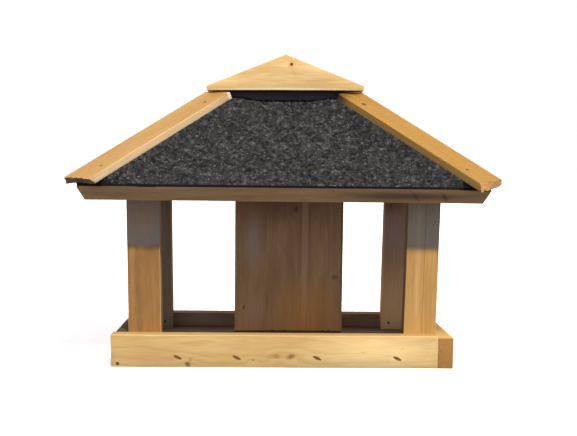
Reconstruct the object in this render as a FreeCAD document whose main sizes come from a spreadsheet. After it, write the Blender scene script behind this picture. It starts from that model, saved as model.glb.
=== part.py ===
import FreeCAD, Part
import Sketcher
import os

# Hipped-roof bird table, in millimetres.
# The frame: +X to the right, +Y to the back, +Z up.
# The origin is the middle of the tray's underside, on the surface that the table stands on.
# Everything is sawn softwood lath and board, nailed and stapled, with felt on the roof.

Vector = FreeCAD.Vector

# Driving sizes. Each is set once here and is used by its name everywhere else.
SIZES = {
    # Tray
    "tray_width": 460,
    "tray_depth": 200,
    "rail_height": 44,
    "rail_thickness": 21,
    "left_rail_inset": 3,
    "right_rail_step": 2,
    "floor_thickness": 21,
    "floor_raise": 2.5,
    "floor_joint": 1,
    # Posts
    "post_width": 44,
    "post_thickness": 21,
    "rear_right_post_inset": 12,
    "bay_height": 180,
    # Centre wall
    "wall_width": 152,
    "wall_thickness": 21,
    "wall_offset": 9,
    "wall_filler_width": 20,
    # Roof
    "roof_length": 530,
    "roof_depth": 270,
    "ridge_length": 182,
    "roof_rise": 123.5,
    "board_plumb_thickness": 23.5,
    "eave_lean": 9.4,
    "felt_plumb_thickness": 3.7,
    "felt_eave_setback": 0.5,
    # Hip boards
    "hip_board_width": 48,
    "hip_board_thickness": 9,
    "hip_board_overhang": 0.8,
    "hip_board_ridge_reach": 1,
    "felt_under_hip": 0.9,
    # Cap and ridge batten
    "cap_length": 216,
    "cap_height": 49,
    "cap_end_height": 6,
    "cap_board_thickness": 21,
    "cap_gap": 5,
    "batten_width": 16,
    "batten_end_setback": 12,
    # Nails
    "nail_diameter": 2,
    "nail_head_diameter": 3.6,
    "nail_head_height": 0.8,
    "corner_nail_length": 45,
    "corner_nail_rise": 4.5,
    "corner_nail_inset": 9,
    "post_nail_length": 36,
    "post_nail_spread": 22,
    "wall_nail_length": 50,
    "wall_nail_stagger": 5.5,
    "roof_nail_length": 45,
    "roof_nail_edge": 4,
    "cap_nail_length": 36,
    "cap_nail_drop": 13.5,
    "cap_nail_offset": 8,
    "hip_nail_length": 28,
    "hip_nail_low": 38,
    "hip_nail_high": 33,
    "hip_nail_offset": 9,
    # Staples
    "staple_crown": 10,
    "staple_wire": 1.2,
    "staple_leg": 30,
    "staple_rise": 13.5,
    "staple_slant": 25,
    "staple_far_left": 141,
    "staple_near_left": 62,
    "staple_near_right": 46,
    "staple_far_right": 154,
}

# Sizes worked out from the driving ones. run_x and run_y are the plan runs of an end slope and
# of a long slope, and every layer of the roof has its hips in the same upright planes.
WORKED = {
    "half_width": "sizes.tray_width / 2",
    "half_depth": "sizes.tray_depth / 2",
    "inner_half_width": "worked.half_width - sizes.rail_thickness",
    "inner_half_depth": "worked.half_depth - sizes.rail_thickness",
    "floor_top": "sizes.floor_raise + sizes.floor_thickness",
    "half_length": "sizes.roof_length / 2",
    "half_run": "sizes.roof_depth / 2",
    "half_ridge": "sizes.ridge_length / 2",
    "run_x": "worked.half_length - worked.half_ridge",
    "run_y": "worked.half_run",
    "slope_x": "sizes.roof_rise / worked.run_x",
    "slope_y": "sizes.roof_rise / worked.run_y",
    "eave_lean_y": "sizes.eave_lean * worked.run_y / worked.run_x",
    "eave_bottom": "sizes.rail_height + sizes.bay_height",
    "eave_top": "worked.eave_bottom + sizes.board_plumb_thickness - worked.slope_x * sizes.eave_lean",
    "ridge_top": "worked.eave_top + sizes.roof_rise",
    "eave_half_length": "worked.half_length - sizes.eave_lean",
    "eave_half_run": "worked.half_run - worked.eave_lean_y",
    "felt_ridge": "worked.ridge_top + sizes.felt_plumb_thickness",
    "cap_base": "worked.felt_ridge + sizes.cap_gap",
    "hip_plan": "sqrt(worked.run_x ^ 2 + worked.run_y ^ 2)",
    "hip_length": "sqrt(worked.hip_plan ^ 2 + sizes.roof_rise ^ 2)",
    "hip_pitch": "atan(sizes.roof_rise / worked.hip_plan)",
    "end_slant": "sqrt(1 + worked.slope_x ^ 2)",
    "long_slant": "sqrt(1 + worked.slope_y ^ 2)",
    "hip_normal_x": "worked.slope_x / worked.end_slant",
    "hip_normal_y": "worked.slope_y / worked.long_slant",
    "hip_normal_z": "1 / worked.end_slant + 1 / worked.long_slant",
    "hip_normal": "sqrt(worked.hip_normal_x ^ 2 + worked.hip_normal_y ^ 2 + worked.hip_normal_z ^ 2)",
    "hip_side_lean": "worked.run_x * worked.hip_normal_y - worked.run_y * worked.hip_normal_x",
    "hip_roll": "asin(worked.hip_side_lean / (worked.hip_plan * worked.hip_normal))",
    "hip_felt_depth": "sizes.felt_plumb_thickness * worked.hip_normal_z / worked.hip_normal",
    "hip_seat": "sizes.felt_under_hip - worked.hip_felt_depth",
}

# The pieces that are written to disk, by label.
PIECES = {}

doc = FreeCAD.newDocument("BirdTable")


def add_sheet(name, cells):
    """Make a sheet with one named cell on each row."""
    sheet = doc.addObject("Spreadsheet::Sheet", name)
    for row, (alias, content) in enumerate(cells.items(), start=1):
        sheet.set(f"A{row}", alias)
        sheet.set(f"B{row}", str(content))
        sheet.setAlias(f"B{row}", alias)
    return sheet


def keep(label, piece):
    """Name a finished piece, so that it is written to disk."""
    piece.Label = label
    PIECES[label] = piece
    return piece


def bind(item, **expressions):
    """Tie properties of an object to expressions on the sheets."""
    for prop, text in expressions.items():
        item.setExpression(prop, text)


def place(item, x="0", y="0", z="0", turn=None):
    """Tie an object's place to three expressions, with an optional fixed or worked-out turn."""
    spin = turn or "create(<<rotation>>; 0; 0; 0)"
    item.setExpression("Placement", f"create(<<placement>>; create(<<vector>>; {x}; {y}; {z}); {spin})")


def box(name, length, width, height, x, y, z):
    """A sawn lath: sizes along X, Y and Z, and the place of its low corner."""
    lath = doc.addObject("Part::Box", name)
    bind(lath, Length=length, Width=width, Height=height)
    place(lath, x, y, z)
    return lath


def boolean(kind, name, base, tool):
    """A cut or common of two objects."""
    result = doc.addObject(f"Part::{kind}", name)
    result.Base = base
    result.Tool = tool
    return result


def group(name, members):
    """Several separate solids as one object, such as a set of nails."""
    gathered = doc.addObject("Part::Compound", name)
    gathered.Links = members
    return gathered


def bore(piece, fasteners):
    """Cut the holes that the given fasteners have driven into a piece."""
    driven = group(f"{piece.Name}_fasteners", fasteners)
    return boolean("Cut", f"{piece.Name}_bored", piece, driven)


def origin_plane(body, role):
    """One of a body's own origin planes."""
    return next(feature for feature in body.Origin.OriginFeatures if feature.Role == role)


def outline(body, name, role, corners):
    """A closed straight-sided sketch on an origin plane, each corner tied to two expressions."""
    sketch = body.newObject("Sketcher::SketchObject", name)
    sketch.AttachmentSupport = [(origin_plane(body, role), "")]
    sketch.MapMode = "FlatFace"
    starts = [(worth(across), worth(up)) for across, up in corners]
    count = len(starts)
    for i in range(count):
        first = Vector(*starts[i], 0)
        second = Vector(*starts[(i + 1) % count], 0)
        sketch.addGeometry(Part.LineSegment(first, second), False)
    for i in range(count):
        sketch.addConstraint(Sketcher.Constraint("Coincident", i, 2, (i + 1) % count, 1))
    for i, pair in enumerate(corners):
        for kind, text, start in zip(("DistanceX", "DistanceY"), pair, starts[i]):
            index = sketch.addConstraint(Sketcher.Constraint(kind, -1, 1, i, 1, start))
            sketch.setExpression(f"Constraints[{index}]", text)
    return sketch


def worth(text):
    """The value that an expression has now, as a plain number."""
    value = sizes.evalExpression(text)
    return float(getattr(value, "Value", value))


def pad(body, profile, length, both_ways=True):
    """Thicken a sketch, to both sides of its plane or to one."""
    feature = body.newObject("PartDesign::Pad", f"{profile.Name}_pad")
    feature.Profile = profile
    feature.SideType = "Symmetric" if both_ways else "One side"
    feature.setExpression("Length", length)
    profile.Visibility = False
    return feature


def pocket(body, profile):
    """Cut a sketch right through a body, to both sides of its plane."""
    feature = body.newObject("PartDesign::Pocket", f"{profile.Name}_cut")
    feature.Profile = profile
    feature.SideType = "Symmetric"
    feature.Type = "ThroughAll"
    return feature


# The sheets
sizes = add_sheet("sizes", SIZES)
worked = add_sheet("worked", {alias: "=" + text.replace("worked.", "") for alias, text in WORKED.items()})
doc.recompute()

# Turns that carry an upright nail (head up, point down) to each face it is driven into
TURN_FRONT = "create(<<rotation>>; create(<<vector>>; 1; 0; 0); 90)"
TURN_BACK = "create(<<rotation>>; create(<<vector>>; 1; 0; 0); -90)"
TURN_RIGHT = "create(<<rotation>>; create(<<vector>>; 0; 1; 0); 90)"
TURN_LEFT = "create(<<rotation>>; create(<<vector>>; 0; 1; 0); -90)"
TURN_UNDER = "create(<<rotation>>; create(<<vector>>; 1; 0; 0); 180)"
SIDES = (("left", -1), ("right", 1))
ENDS = (("front", -1), ("rear", 1))


def nail(name, length, x, y, z, turn=None):
    """A round nail: the middle of its head's top at the given point, its shank along its own -Z."""
    shank = doc.addObject("Part::Cylinder", f"{name}_shank")
    bind(shank, Radius="sizes.nail_diameter / 2", Height=length)
    place(shank, z=f"-({length})")
    head = doc.addObject("Part::Cylinder", f"{name}_head")
    bind(head, Radius="sizes.nail_head_diameter / 2", Height="sizes.nail_head_height")
    place(head, z="-sizes.nail_head_height")
    whole = boolean("Fuse", name, shank, head)
    place(whole, x, y, z, turn)
    return whole


def staple(name, x, y, z, facing):
    """A slanted staple: crown flush with a rail's outer face, two legs driven inwards.

    Before its turn the crown lies along X in the face's plane and the legs run along -Z.
    """
    crown = box(f"{name}_crown", "sizes.staple_crown", "sizes.staple_wire", "sizes.staple_wire",
                "-sizes.staple_crown / 2", "-sizes.staple_wire / 2", "-sizes.staple_wire")
    legs = []
    for side, sign in SIDES:
        inner = "-sizes.staple_crown / 2" if sign < 0 else "sizes.staple_crown / 2 - sizes.staple_wire"
        legs.append(box(f"{name}_{side}_leg", "sizes.staple_wire", "sizes.staple_wire", "sizes.staple_leg",
                        inner, "-sizes.staple_wire / 2", "-sizes.staple_leg"))
    whole = doc.addObject("Part::MultiFuse", name)
    whole.Shapes = [crown] + legs
    slanted = f"{facing} * create(<<rotation>>; create(<<vector>>; 0; 0; 1); -sizes.staple_slant)"
    place(whole, x, y, z, slanted)
    return whole


# Tray corners: each rail's end is covered by the next one round the tray, and one nail low in
# each corner goes through the covering rail into the covered rail's end.
CORNERS = {
    ("front", "left"): ("-worked.half_width + sizes.corner_nail_inset", "-worked.half_depth", TURN_FRONT),
    ("front", "right"): ("worked.half_width", "-worked.half_depth + sizes.corner_nail_inset", TURN_RIGHT),
    ("rear", "right"): ("worked.half_width - sizes.corner_nail_inset", "worked.half_depth", TURN_BACK),
    ("rear", "left"): ("-worked.half_width + sizes.left_rail_inset",
                       "worked.half_depth - sizes.corner_nail_inset", TURN_LEFT),
}
corner_nail = {}
for (end, side), (x, y, turn) in CORNERS.items():
    corner_nail[end, side] = nail(f"corner_nail_{end}_{side}", "sizes.corner_nail_length", x, y,
                                  "sizes.corner_nail_rise", turn)
keep("tray_corner_nails", group("corner_nails", list(corner_nail.values())))

# Floor boards run along the tray, side by side with a drain gap between them.
FLOOR_BOARDS = 4
FLOOR_PITCH = f"((2 * worked.inner_half_depth + sizes.floor_joint) / {FLOOR_BOARDS})"


def floor_board_start(index):
    """Where a floor board begins, front to back."""
    return f"-worked.inner_half_depth + {index} * {FLOOR_PITCH}"


# Staples through the rails into the floor: four into each long edge, one into each board's end
STAPLE_PLACES = ("-sizes.staple_far_left", "-sizes.staple_near_left",
                 "sizes.staple_near_right", "sizes.staple_far_right")
staples = {"front": [], "rear": [], "left": [], "right": []}
for number, along in enumerate(STAPLE_PLACES, start=1):
    staples["front"].append(staple(f"front_staple_{number}", along, "-worked.half_depth",
                                   "sizes.staple_rise", TURN_FRONT))
    staples["rear"].append(staple(f"rear_staple_{number}", f"-({along})", "worked.half_depth",
                                  "sizes.staple_rise", TURN_BACK))
for index in range(FLOOR_BOARDS):
    middle = f"{floor_board_start(index)} + ({FLOOR_PITCH} - sizes.floor_joint) / 2"
    staples["left"].append(staple(f"left_staple_{index + 1}", "-worked.half_width + sizes.left_rail_inset",
                                  middle, "sizes.staple_rise", TURN_LEFT))
    staples["right"].append(staple(f"right_staple_{index + 1}", "worked.half_width", middle,
                                   "sizes.staple_rise", TURN_RIGHT))
keep("floor_staples", group("floor_staples", [one for edge in staples.values() for one in edge]))

# Nails through the posts into the long rails, two side by side in each post's foot
POST_MIDDLES = {
    ("front", "left"): "-(worked.inner_half_width - sizes.post_width / 2)",
    ("front", "right"): "worked.inner_half_width - sizes.post_width / 2",
    ("rear", "left"): "-(worked.inner_half_width - sizes.post_width / 2)",
    ("rear", "right"): "worked.inner_half_width - sizes.post_width / 2 - sizes.rear_right_post_inset",
}
post_nails = {}
for (end, side), middle in POST_MIDDLES.items():
    face = "worked.inner_half_depth - sizes.post_thickness"
    depth, turn = (f"-({face})", TURN_BACK) if end == "front" else (face, TURN_FRONT)
    post_nails[end, side] = [
        nail(f"post_nail_{end}_{side}_{which}", "sizes.post_nail_length",
             f"{middle} + ({sign}) * sizes.post_nail_spread / 2", depth,
             "(worked.floor_top + sizes.rail_height) / 2", turn)
        for which, sign in SIDES
    ]
keep("post_nails", group("post_nails", [one for pair in post_nails.values() for one in pair]))

# Centre wall: three equal boards and a narrow filler board on the right, edge to edge, each
# nailed from under the floor
WALL_BOARDS = 4
WALL_PITCH = f"((sizes.wall_width - sizes.wall_filler_width) / {WALL_BOARDS - 1})"
WALL_LEFT = "sizes.wall_offset - sizes.wall_width / 2"


def wall_board_width(index):
    """The width of a wall board: the last one is the filler."""
    return "sizes.wall_filler_width" if index == WALL_BOARDS - 1 else WALL_PITCH


wall_nails = []
for index in range(WALL_BOARDS):
    stagger = "sizes.wall_nail_stagger" if index % 2 else "-sizes.wall_nail_stagger"
    wall_nails.append(nail(f"wall_nail_{index + 1}", "sizes.wall_nail_length",
                           f"{WALL_LEFT} + {index} * {WALL_PITCH} + {wall_board_width(index)} / 2", stagger,
                           "sizes.floor_raise", TURN_UNDER))
keep("wall_nails", group("wall_nails", wall_nails))

# Nails square to the end slopes, through the lower roof boards into the post tops
roof_nail = {}
for (end, side), middle in POST_MIDDLES.items():
    outward = -1 if side == "left" else 1
    across = f"({middle}) + ({outward}) * (sizes.post_width / 2 - sizes.roof_nail_edge)"
    inward = "(worked.inner_half_depth - sizes.post_thickness / 2)"
    height = f"worked.eave_top + worked.slope_x * (worked.half_length - ({outward}) * ({across}))"
    turn = f"create(<<rotation>>; create(<<vector>>; 0; 1; 0); ({outward}) * atan(worked.slope_x))"
    roof_nail[end, side] = nail(f"roof_nail_{end}_{side}", "sizes.roof_nail_length", across,
                                f"-{inward}" if end == "front" else inward, height, turn)
keep("roof_nails", group("roof_nails", list(roof_nail.values())))

# Tray rails
LONG_RAIL = "sizes.tray_width - sizes.rail_thickness"
SHORT_RAIL = "sizes.tray_depth - sizes.rail_thickness"
rails = {
    "tray_front_rail": box("front_rail", LONG_RAIL, "sizes.rail_thickness", "sizes.rail_height",
                           "-worked.half_width", "-worked.half_depth", "0"),
    "tray_right_rail": box("right_rail", "sizes.rail_thickness", SHORT_RAIL,
                           "sizes.rail_height - sizes.right_rail_step",
                           "worked.inner_half_width", "-worked.half_depth", "0"),
    "tray_rear_rail": box("rear_rail", LONG_RAIL, "sizes.rail_thickness", "sizes.rail_height",
                          "-worked.inner_half_width", "worked.inner_half_depth", "0"),
    "tray_left_rail": box("left_rail", "sizes.rail_thickness - sizes.left_rail_inset", SHORT_RAIL,
                          "sizes.rail_height", "-worked.half_width + sizes.left_rail_inset",
                          "-worked.inner_half_depth", "0"),
}
RAIL_CORNERS = {
    "tray_front_rail": (("front", "left"), ("front", "right")),
    "tray_right_rail": (("front", "right"), ("rear", "right")),
    "tray_rear_rail": (("rear", "right"), ("rear", "left")),
    "tray_left_rail": (("rear", "left"), ("front", "left")),
}
for label, rail in rails.items():
    edge = label.split("_")[1]
    fixings = [corner_nail[corner] for corner in RAIL_CORNERS[label]] + staples[edge]
    for side, _ in SIDES:
        fixings += post_nails.get((edge, side), [])
    keep(label, bore(rail, fixings))

# Tray floor
for index in range(FLOOR_BOARDS):
    board = box(f"floor_{index + 1}", "2 * worked.inner_half_width", f"{FLOOR_PITCH} - sizes.floor_joint",
                "sizes.floor_thickness", "-worked.inner_half_width", floor_board_start(index),
                "sizes.floor_raise")
    fixings = [staples["left"][index], staples["right"][index]] + wall_nails
    if index == 0:
        fixings += staples["front"]
    if index == FLOOR_BOARDS - 1:
        fixings += staples["rear"]
    keep(f"floor_board_{index + 1}", bore(board, fixings))

# The space under the roof boards: a hipped block whose slopes are the boards' undersides, with
# the slopes carried on down and out to the tray's floor. Posts and wall boards end on it.
under_roof = doc.addObject("Part::Wedge", "under_roof")
drop = "(worked.eave_bottom - worked.floor_top)"
bind(under_roof,
     Xmin=f"-(worked.eave_half_length + {drop} / worked.slope_x)",
     Xmax=f"worked.eave_half_length + {drop} / worked.slope_x",
     Zmin=f"-(worked.eave_half_run + {drop} / worked.slope_y)",
     Zmax=f"worked.eave_half_run + {drop} / worked.slope_y",
     Ymin="worked.floor_top",
     Ymax="worked.ridge_top - sizes.board_plumb_thickness",
     X2min="-worked.half_ridge", X2max="worked.half_ridge", Z2min="0", Z2max="0")
place(under_roof, turn=TURN_FRONT)

# Posts, standing on the floor in the tray's corners, their tops cut to the roof
for (end, side), middle in POST_MIDDLES.items():
    low = "-worked.inner_half_depth" if end == "front" else "worked.inner_half_depth - sizes.post_thickness"
    blank = box(f"post_blank_{end}_{side}", "sizes.post_width", "sizes.post_thickness",
                "worked.ridge_top - worked.floor_top", f"{middle} - sizes.post_width / 2", low,
                "worked.floor_top")
    post = boolean("Common", f"post_{end}_{side}_shaped", blank, under_roof)
    keep(f"post_{end}_{side}", bore(post, post_nails[end, side] + [roof_nail[end, side]]))

# Centre wall boards
for index in range(WALL_BOARDS):
    blank = box(f"wall_blank_{index + 1}", wall_board_width(index), "sizes.wall_thickness",
                "worked.ridge_top - worked.floor_top", f"{WALL_LEFT} + {index} * {WALL_PITCH}",
                "-sizes.wall_thickness / 2", "worked.floor_top")
    board = boolean("Common", f"wall_{index + 1}_shaped", blank, under_roof)
    keep(f"wall_board_{index + 1}", bore(board, [wall_nails[index]]))


# The roof. A long slope's section is drawn on the YZ plane and an end slope's on the XZ plane,
# then thickened along the eave and mitred to the two hips.
def slope_terms(slope):
    """The names of a slope's runs: outer eave, eave underside, ridge end and gradient."""
    if slope in ("front", "rear"):
        return "worked.half_run", "worked.eave_half_run", "0", "worked.slope_y"
    return "worked.half_length", "worked.eave_half_length", "worked.half_ridge", "worked.slope_x"


def mitre(body, slope, sign):
    """Cut both ends of a slope's board to the upright hip planes."""
    reach = 1.25
    for side, other in SIDES:
        along_x = f"(worked.half_ridge + {reach} * worked.run_x)"
        along_y = f"({reach} * worked.run_y)"
        if slope in ("front", "rear"):
            corners = [(f"({other}) * worked.half_ridge", "0"),
                       (f"({other}) * {along_x}", f"({sign}) * {along_y}"),
                       (f"({other}) * {along_x}", "0")]
        else:
            corners = [(f"({sign}) * worked.half_ridge", "0"),
                       (f"({sign}) * {along_x}", f"({other}) * {along_y}"),
                       (f"({sign}) * worked.half_ridge", f"({other}) * {along_y}")]
        pocket(body, outline(body, f"{body.Name}_mitre_{side}", "XY_Plane", corners))


def sloping_piece(name, slope, sign, section):
    """A board or sheet on one slope, from its section as (run, height) expressions."""
    body = doc.addObject("PartDesign::Body", name)
    long_slope = slope in ("front", "rear")
    plane = "YZ_Plane" if long_slope else "XZ_Plane"
    along = "sizes.roof_length" if long_slope else "sizes.roof_depth"
    signed = [(f"({sign}) * ({run})", height) for run, height in section]
    pad(body, outline(body, f"{name}_section", plane, signed), along)
    mitre(body, slope, sign)
    return body


def board_sections(slope):
    """The sections of the lower and the upper board of a slope, split halfway up."""
    eave, eave_under, top, gradient = slope_terms(slope)
    joint = f"(({eave} + {top}) / 2)"
    joint_top = f"worked.eave_top + {gradient} * ({eave} - {joint})"
    joint_under = f"{joint_top} - sizes.board_plumb_thickness"
    lower = [(eave_under, "worked.eave_bottom"), (eave, "worked.eave_top"),
             (joint, joint_top), (joint, joint_under)]
    upper = [(joint, joint_under), (joint, joint_top), (top, "worked.ridge_top"),
             (top, "worked.ridge_top - sizes.board_plumb_thickness")]
    return {"lower": lower, "upper": upper}


def felt_section(slope):
    """The section of a slope's felt, its lower edge just in from the eave."""
    eave, _, top, gradient = slope_terms(slope)
    setback = "sizes.felt_eave_setback"
    edge = f"worked.eave_top + {gradient} * {setback}"
    thick = "sizes.felt_plumb_thickness"
    return [(f"{eave} - {setback}", edge), (f"{eave} - {setback}", f"{edge} + {thick}"),
            (top, f"worked.ridge_top + {thick}"), (top, "worked.ridge_top")]


SLOPES = (("front", -1), ("rear", 1), ("left", -1), ("right", 1))
roof_boards = {}
felts = {}
for slope, sign in SLOPES:
    for level, section in board_sections(slope).items():
        roof_boards[slope, level] = sloping_piece(f"{slope}_{level}_board", slope, sign, section)
    felts[slope] = sloping_piece(f"{slope}_felt_sheet", slope, sign, felt_section(slope))


# Hip boards. Each is drawn along its own X, from the felt's eave corner up the hip, then turned
# and tilted onto the hip so that it leans evenly between the two slopes.
def hip_place(end_sign, side_sign):
    """The place of a hip's own frame, as an expression."""
    heading = f"atan2(-({end_sign}) * worked.run_y; -({side_sign}) * worked.run_x)"
    corner = (f"create(<<vector>>; ({side_sign}) * worked.half_length; ({end_sign}) * worked.half_run; "
              "worked.eave_top + sizes.felt_plumb_thickness)")
    roll = f"({end_sign}) * ({side_sign}) * worked.hip_roll"
    return f"create(<<placement>>; {corner}; create(<<rotation>>; {heading}; -worked.hip_pitch; {roll}))"


hip_boards = {}
hip_nails = {}
for end, end_sign in ENDS:
    for side, side_sign in SIDES:
        where = hip_place(end_sign, side_sign)
        body = doc.addObject("PartDesign::Body", f"hip_blank_{end}_{side}")
        low, high = "-sizes.hip_board_overhang", "worked.hip_length + sizes.hip_board_ridge_reach"
        half = "sizes.hip_board_width / 2"
        profile = outline(body, f"hip_plan_{end}_{side}", "XY_Plane",
                          [(low, f"-{half}"), (high, f"-{half}"), (high, half), (low, half)])
        pad(body, profile, "sizes.hip_board_thickness", both_ways=False)
        body.setExpression("Placement", f"{where} * create(<<placement>>; create(<<vector>>; 0; 0; "
                           "worked.hip_seat); create(<<rotation>>; 0; 0; 0))")
        # Where two hip boards meet at the ridge's end they are mitred, and all are planed level
        # under the cap, so each keeps only what lies in its own quarter below the cap.
        quarter = box(f"hip_quarter_{end}_{side}", "2 * worked.half_length", "2 * worked.half_run",
                      "worked.cap_base - worked.floor_top",
                      "0" if side_sign > 0 else "-2 * worked.half_length",
                      "0" if end_sign > 0 else "-2 * worked.half_run", "worked.floor_top")
        shaped = boolean("Common", f"hip_{end}_{side}_shaped", body, quarter)
        # The nails stand off the hip towards the long slope, to bite in its boards.
        aside = f"({end_sign}) * ({-side_sign}) * sizes.hip_nail_offset"
        top_face = "worked.hip_seat + sizes.hip_board_thickness"
        pair = [
            nail(f"hip_nail_low_{end}_{side}", "sizes.hip_nail_length",
                 "sizes.hip_nail_low", aside, top_face),
            nail(f"hip_nail_high_{end}_{side}", "sizes.hip_nail_length",
                 "worked.hip_length - sizes.hip_nail_high", aside, top_face),
        ]
        nails = group(f"hip_nails_{end}_{side}", pair)
        nails.setExpression("Placement", where)
        hip_nails[end, side] = nails
        hip_boards[end, side] = keep(f"hip_board_{end}_{side}", bore(shaped, [nails]))
keep("hip_nails", group("hip_nails", list(hip_nails.values())))


def slope_corners(slope):
    """The two roof corners that a slope reaches."""
    if slope in ("front", "rear"):
        return [(slope, side) for side, _ in SIDES]
    return [(end, slope) for end, _ in ENDS]


for (slope, level), body in roof_boards.items():
    fixings = [hip_nails[corner] for corner in slope_corners(slope)]
    fixings += [roof_nail[corner] for corner in slope_corners(slope)]
    keep(f"roof_board_{slope}_{level}", bore(body, fixings))
for slope, body in felts.items():
    over = [hip_boards[corner] for corner in slope_corners(slope)]
    over += [hip_nails[corner] for corner in slope_corners(slope)]
    keep(f"roof_felt_{slope}", bore(body, over))

# Ridge batten: cut to a V underneath so that it sits astride the felted ridge, and fills the
# space under the cap
batten = doc.addObject("PartDesign::Body", "batten_body")
half = "sizes.batten_width / 2"
foot = f"worked.felt_ridge - worked.slope_y * {half}"
profile = outline(batten, "batten_section", "YZ_Plane",
                  [(f"-{half}", foot), ("0", "worked.felt_ridge"), (half, foot),
                   (half, "worked.cap_base"), (f"-{half}", "worked.cap_base")])
pad(batten, profile, "sizes.ridge_length - 2 * sizes.batten_end_setback")
keep("ridge_batten", batten)

# Cap: two boards with blunt ends and a low point, back to back over the ridge
cap_nails = []
for end, sign in ENDS:
    cap_nails.append(nail(f"cap_nail_{end}", "sizes.cap_nail_length", f"-({sign}) * sizes.cap_nail_offset",
                          f"({sign}) * sizes.cap_board_thickness",
                          "worked.cap_base + sizes.cap_height - sizes.cap_nail_drop",
                          TURN_FRONT if sign < 0 else TURN_BACK))
keep("cap_nails", group("cap_nails", cap_nails))
for end, sign in ENDS:
    body = doc.addObject("PartDesign::Body", f"cap_{end}_body")
    half = "sizes.cap_length / 2"
    end_top = "sizes.cap_end_height"
    profile = outline(body, f"cap_{end}_outline", "XZ_Plane",
                      [(f"-{half}", "0"), (half, "0"), (half, end_top), ("0", "sizes.cap_height"),
                       (f"-{half}", end_top)])
    pad(body, profile, "sizes.cap_board_thickness")
    place(body, "0", f"({sign}) * sizes.cap_board_thickness / 2", "worked.cap_base")
    keep(f"cap_board_{end}", bore(body, cap_nails))

doc.recompute()

# Every object must have built, and every piece must be sound, before anything is written.
for item in doc.Objects:
    if "Invalid" in item.State or "Error" in item.State:
        raise RuntimeError(f"{item.Name} did not build: {item.State}")
for label, piece in PIECES.items():
    if piece.Shape.isNull() or not piece.Shape.isValid() or not piece.Shape.Solids:
        raise RuntimeError(f"{label} has no sound shape")

os.makedirs("parts", exist_ok=True)
for label, piece in PIECES.items():
    piece.Shape.exportStep(f"parts/{label}.step")
print(f"{len(PIECES)} pieces written")
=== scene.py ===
"""Looks of a hipped-roof bird table of stained spruce lath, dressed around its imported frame.

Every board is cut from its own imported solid, so it stays where it was made. Its arrises are
eased, its faces wander by a fraction of a millimetre and its grain runs along it. The felt is
laid again as a sheet with its granules standing on it, and the nails and staples are driven a
little below the wood.
"""

import logging
import math
from collections.abc import Callable
from dataclasses import dataclass, field, replace
from enum import Enum, IntEnum

import bmesh
import bpy
import numpy as np
from mathutils import Matrix, Vector, noise


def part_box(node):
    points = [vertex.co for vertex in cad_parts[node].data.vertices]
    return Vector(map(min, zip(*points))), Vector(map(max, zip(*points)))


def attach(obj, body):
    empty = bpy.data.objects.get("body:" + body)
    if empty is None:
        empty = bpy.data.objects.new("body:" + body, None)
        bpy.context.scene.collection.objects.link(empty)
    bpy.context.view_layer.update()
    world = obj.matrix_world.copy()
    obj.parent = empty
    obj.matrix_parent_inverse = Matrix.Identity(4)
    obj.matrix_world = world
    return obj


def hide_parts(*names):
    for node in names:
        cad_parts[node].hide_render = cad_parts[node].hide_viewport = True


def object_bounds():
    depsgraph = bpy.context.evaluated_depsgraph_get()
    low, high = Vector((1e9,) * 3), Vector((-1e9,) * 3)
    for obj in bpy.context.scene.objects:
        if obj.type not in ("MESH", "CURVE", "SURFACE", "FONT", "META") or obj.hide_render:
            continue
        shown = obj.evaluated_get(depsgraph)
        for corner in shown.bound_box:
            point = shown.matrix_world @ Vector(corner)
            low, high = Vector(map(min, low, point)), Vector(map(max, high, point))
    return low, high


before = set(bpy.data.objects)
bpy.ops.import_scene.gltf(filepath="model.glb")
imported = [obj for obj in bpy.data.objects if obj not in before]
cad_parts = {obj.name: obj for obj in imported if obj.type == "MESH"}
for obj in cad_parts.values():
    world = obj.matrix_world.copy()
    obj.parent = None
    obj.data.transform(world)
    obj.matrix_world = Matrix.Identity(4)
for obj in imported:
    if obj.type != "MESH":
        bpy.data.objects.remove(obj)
CAD_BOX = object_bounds()
MM = 0.001
# Corners nearer than WELD are one corner, and planes nearer than FLUSH are one plane.
WELD = 0.004 * MM
FLUSH = 0.01 * MM
# How far the left and right ends of the cap's boards sit off their packed places, in mm. The
# front board takes the ridge batten with it.
CAP_LIFT = (Vector((0.3, 0.0, 0.4)), Vector((2.6, 0.0, 2.6)))
REAR_CAP_LIFT = (Vector((0.3, 0.0, 0.3)), Vector((2.6, 0.0, 0.6)))
# The noise that moves the boards' faces takes a seed. This one leaves the wall's joints closed, so
# that no daylight shows between its boards.
NOISE_SEED = 91
X_AXIS = Vector((1.0, 0.0, 0.0))
Y_AXIS = Vector((0.0, 1.0, 0.0))
Z_AXIS = Vector((0.0, 0.0, 1.0))
log = logging.getLogger("bird_table")


# Colours and shader nodes


def srgb(code: str) -> tuple[float, float, float, float]:
    """Turn an sRGB hex colour into the linear colour that a shader takes.

    Args:
        code: The colour as "#rrggbb".

    Returns:
        Linear red, green and blue, and an alpha of 1.
    """
    parts = [int(code[i:i + 2], 16) / 255.0 for i in (1, 3, 5)]
    linear = [c / 12.92 if c <= 0.04045 else ((c + 0.055) / 1.055) ** 2.4 for c in parts]
    return (*linear, 1.0)


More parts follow.
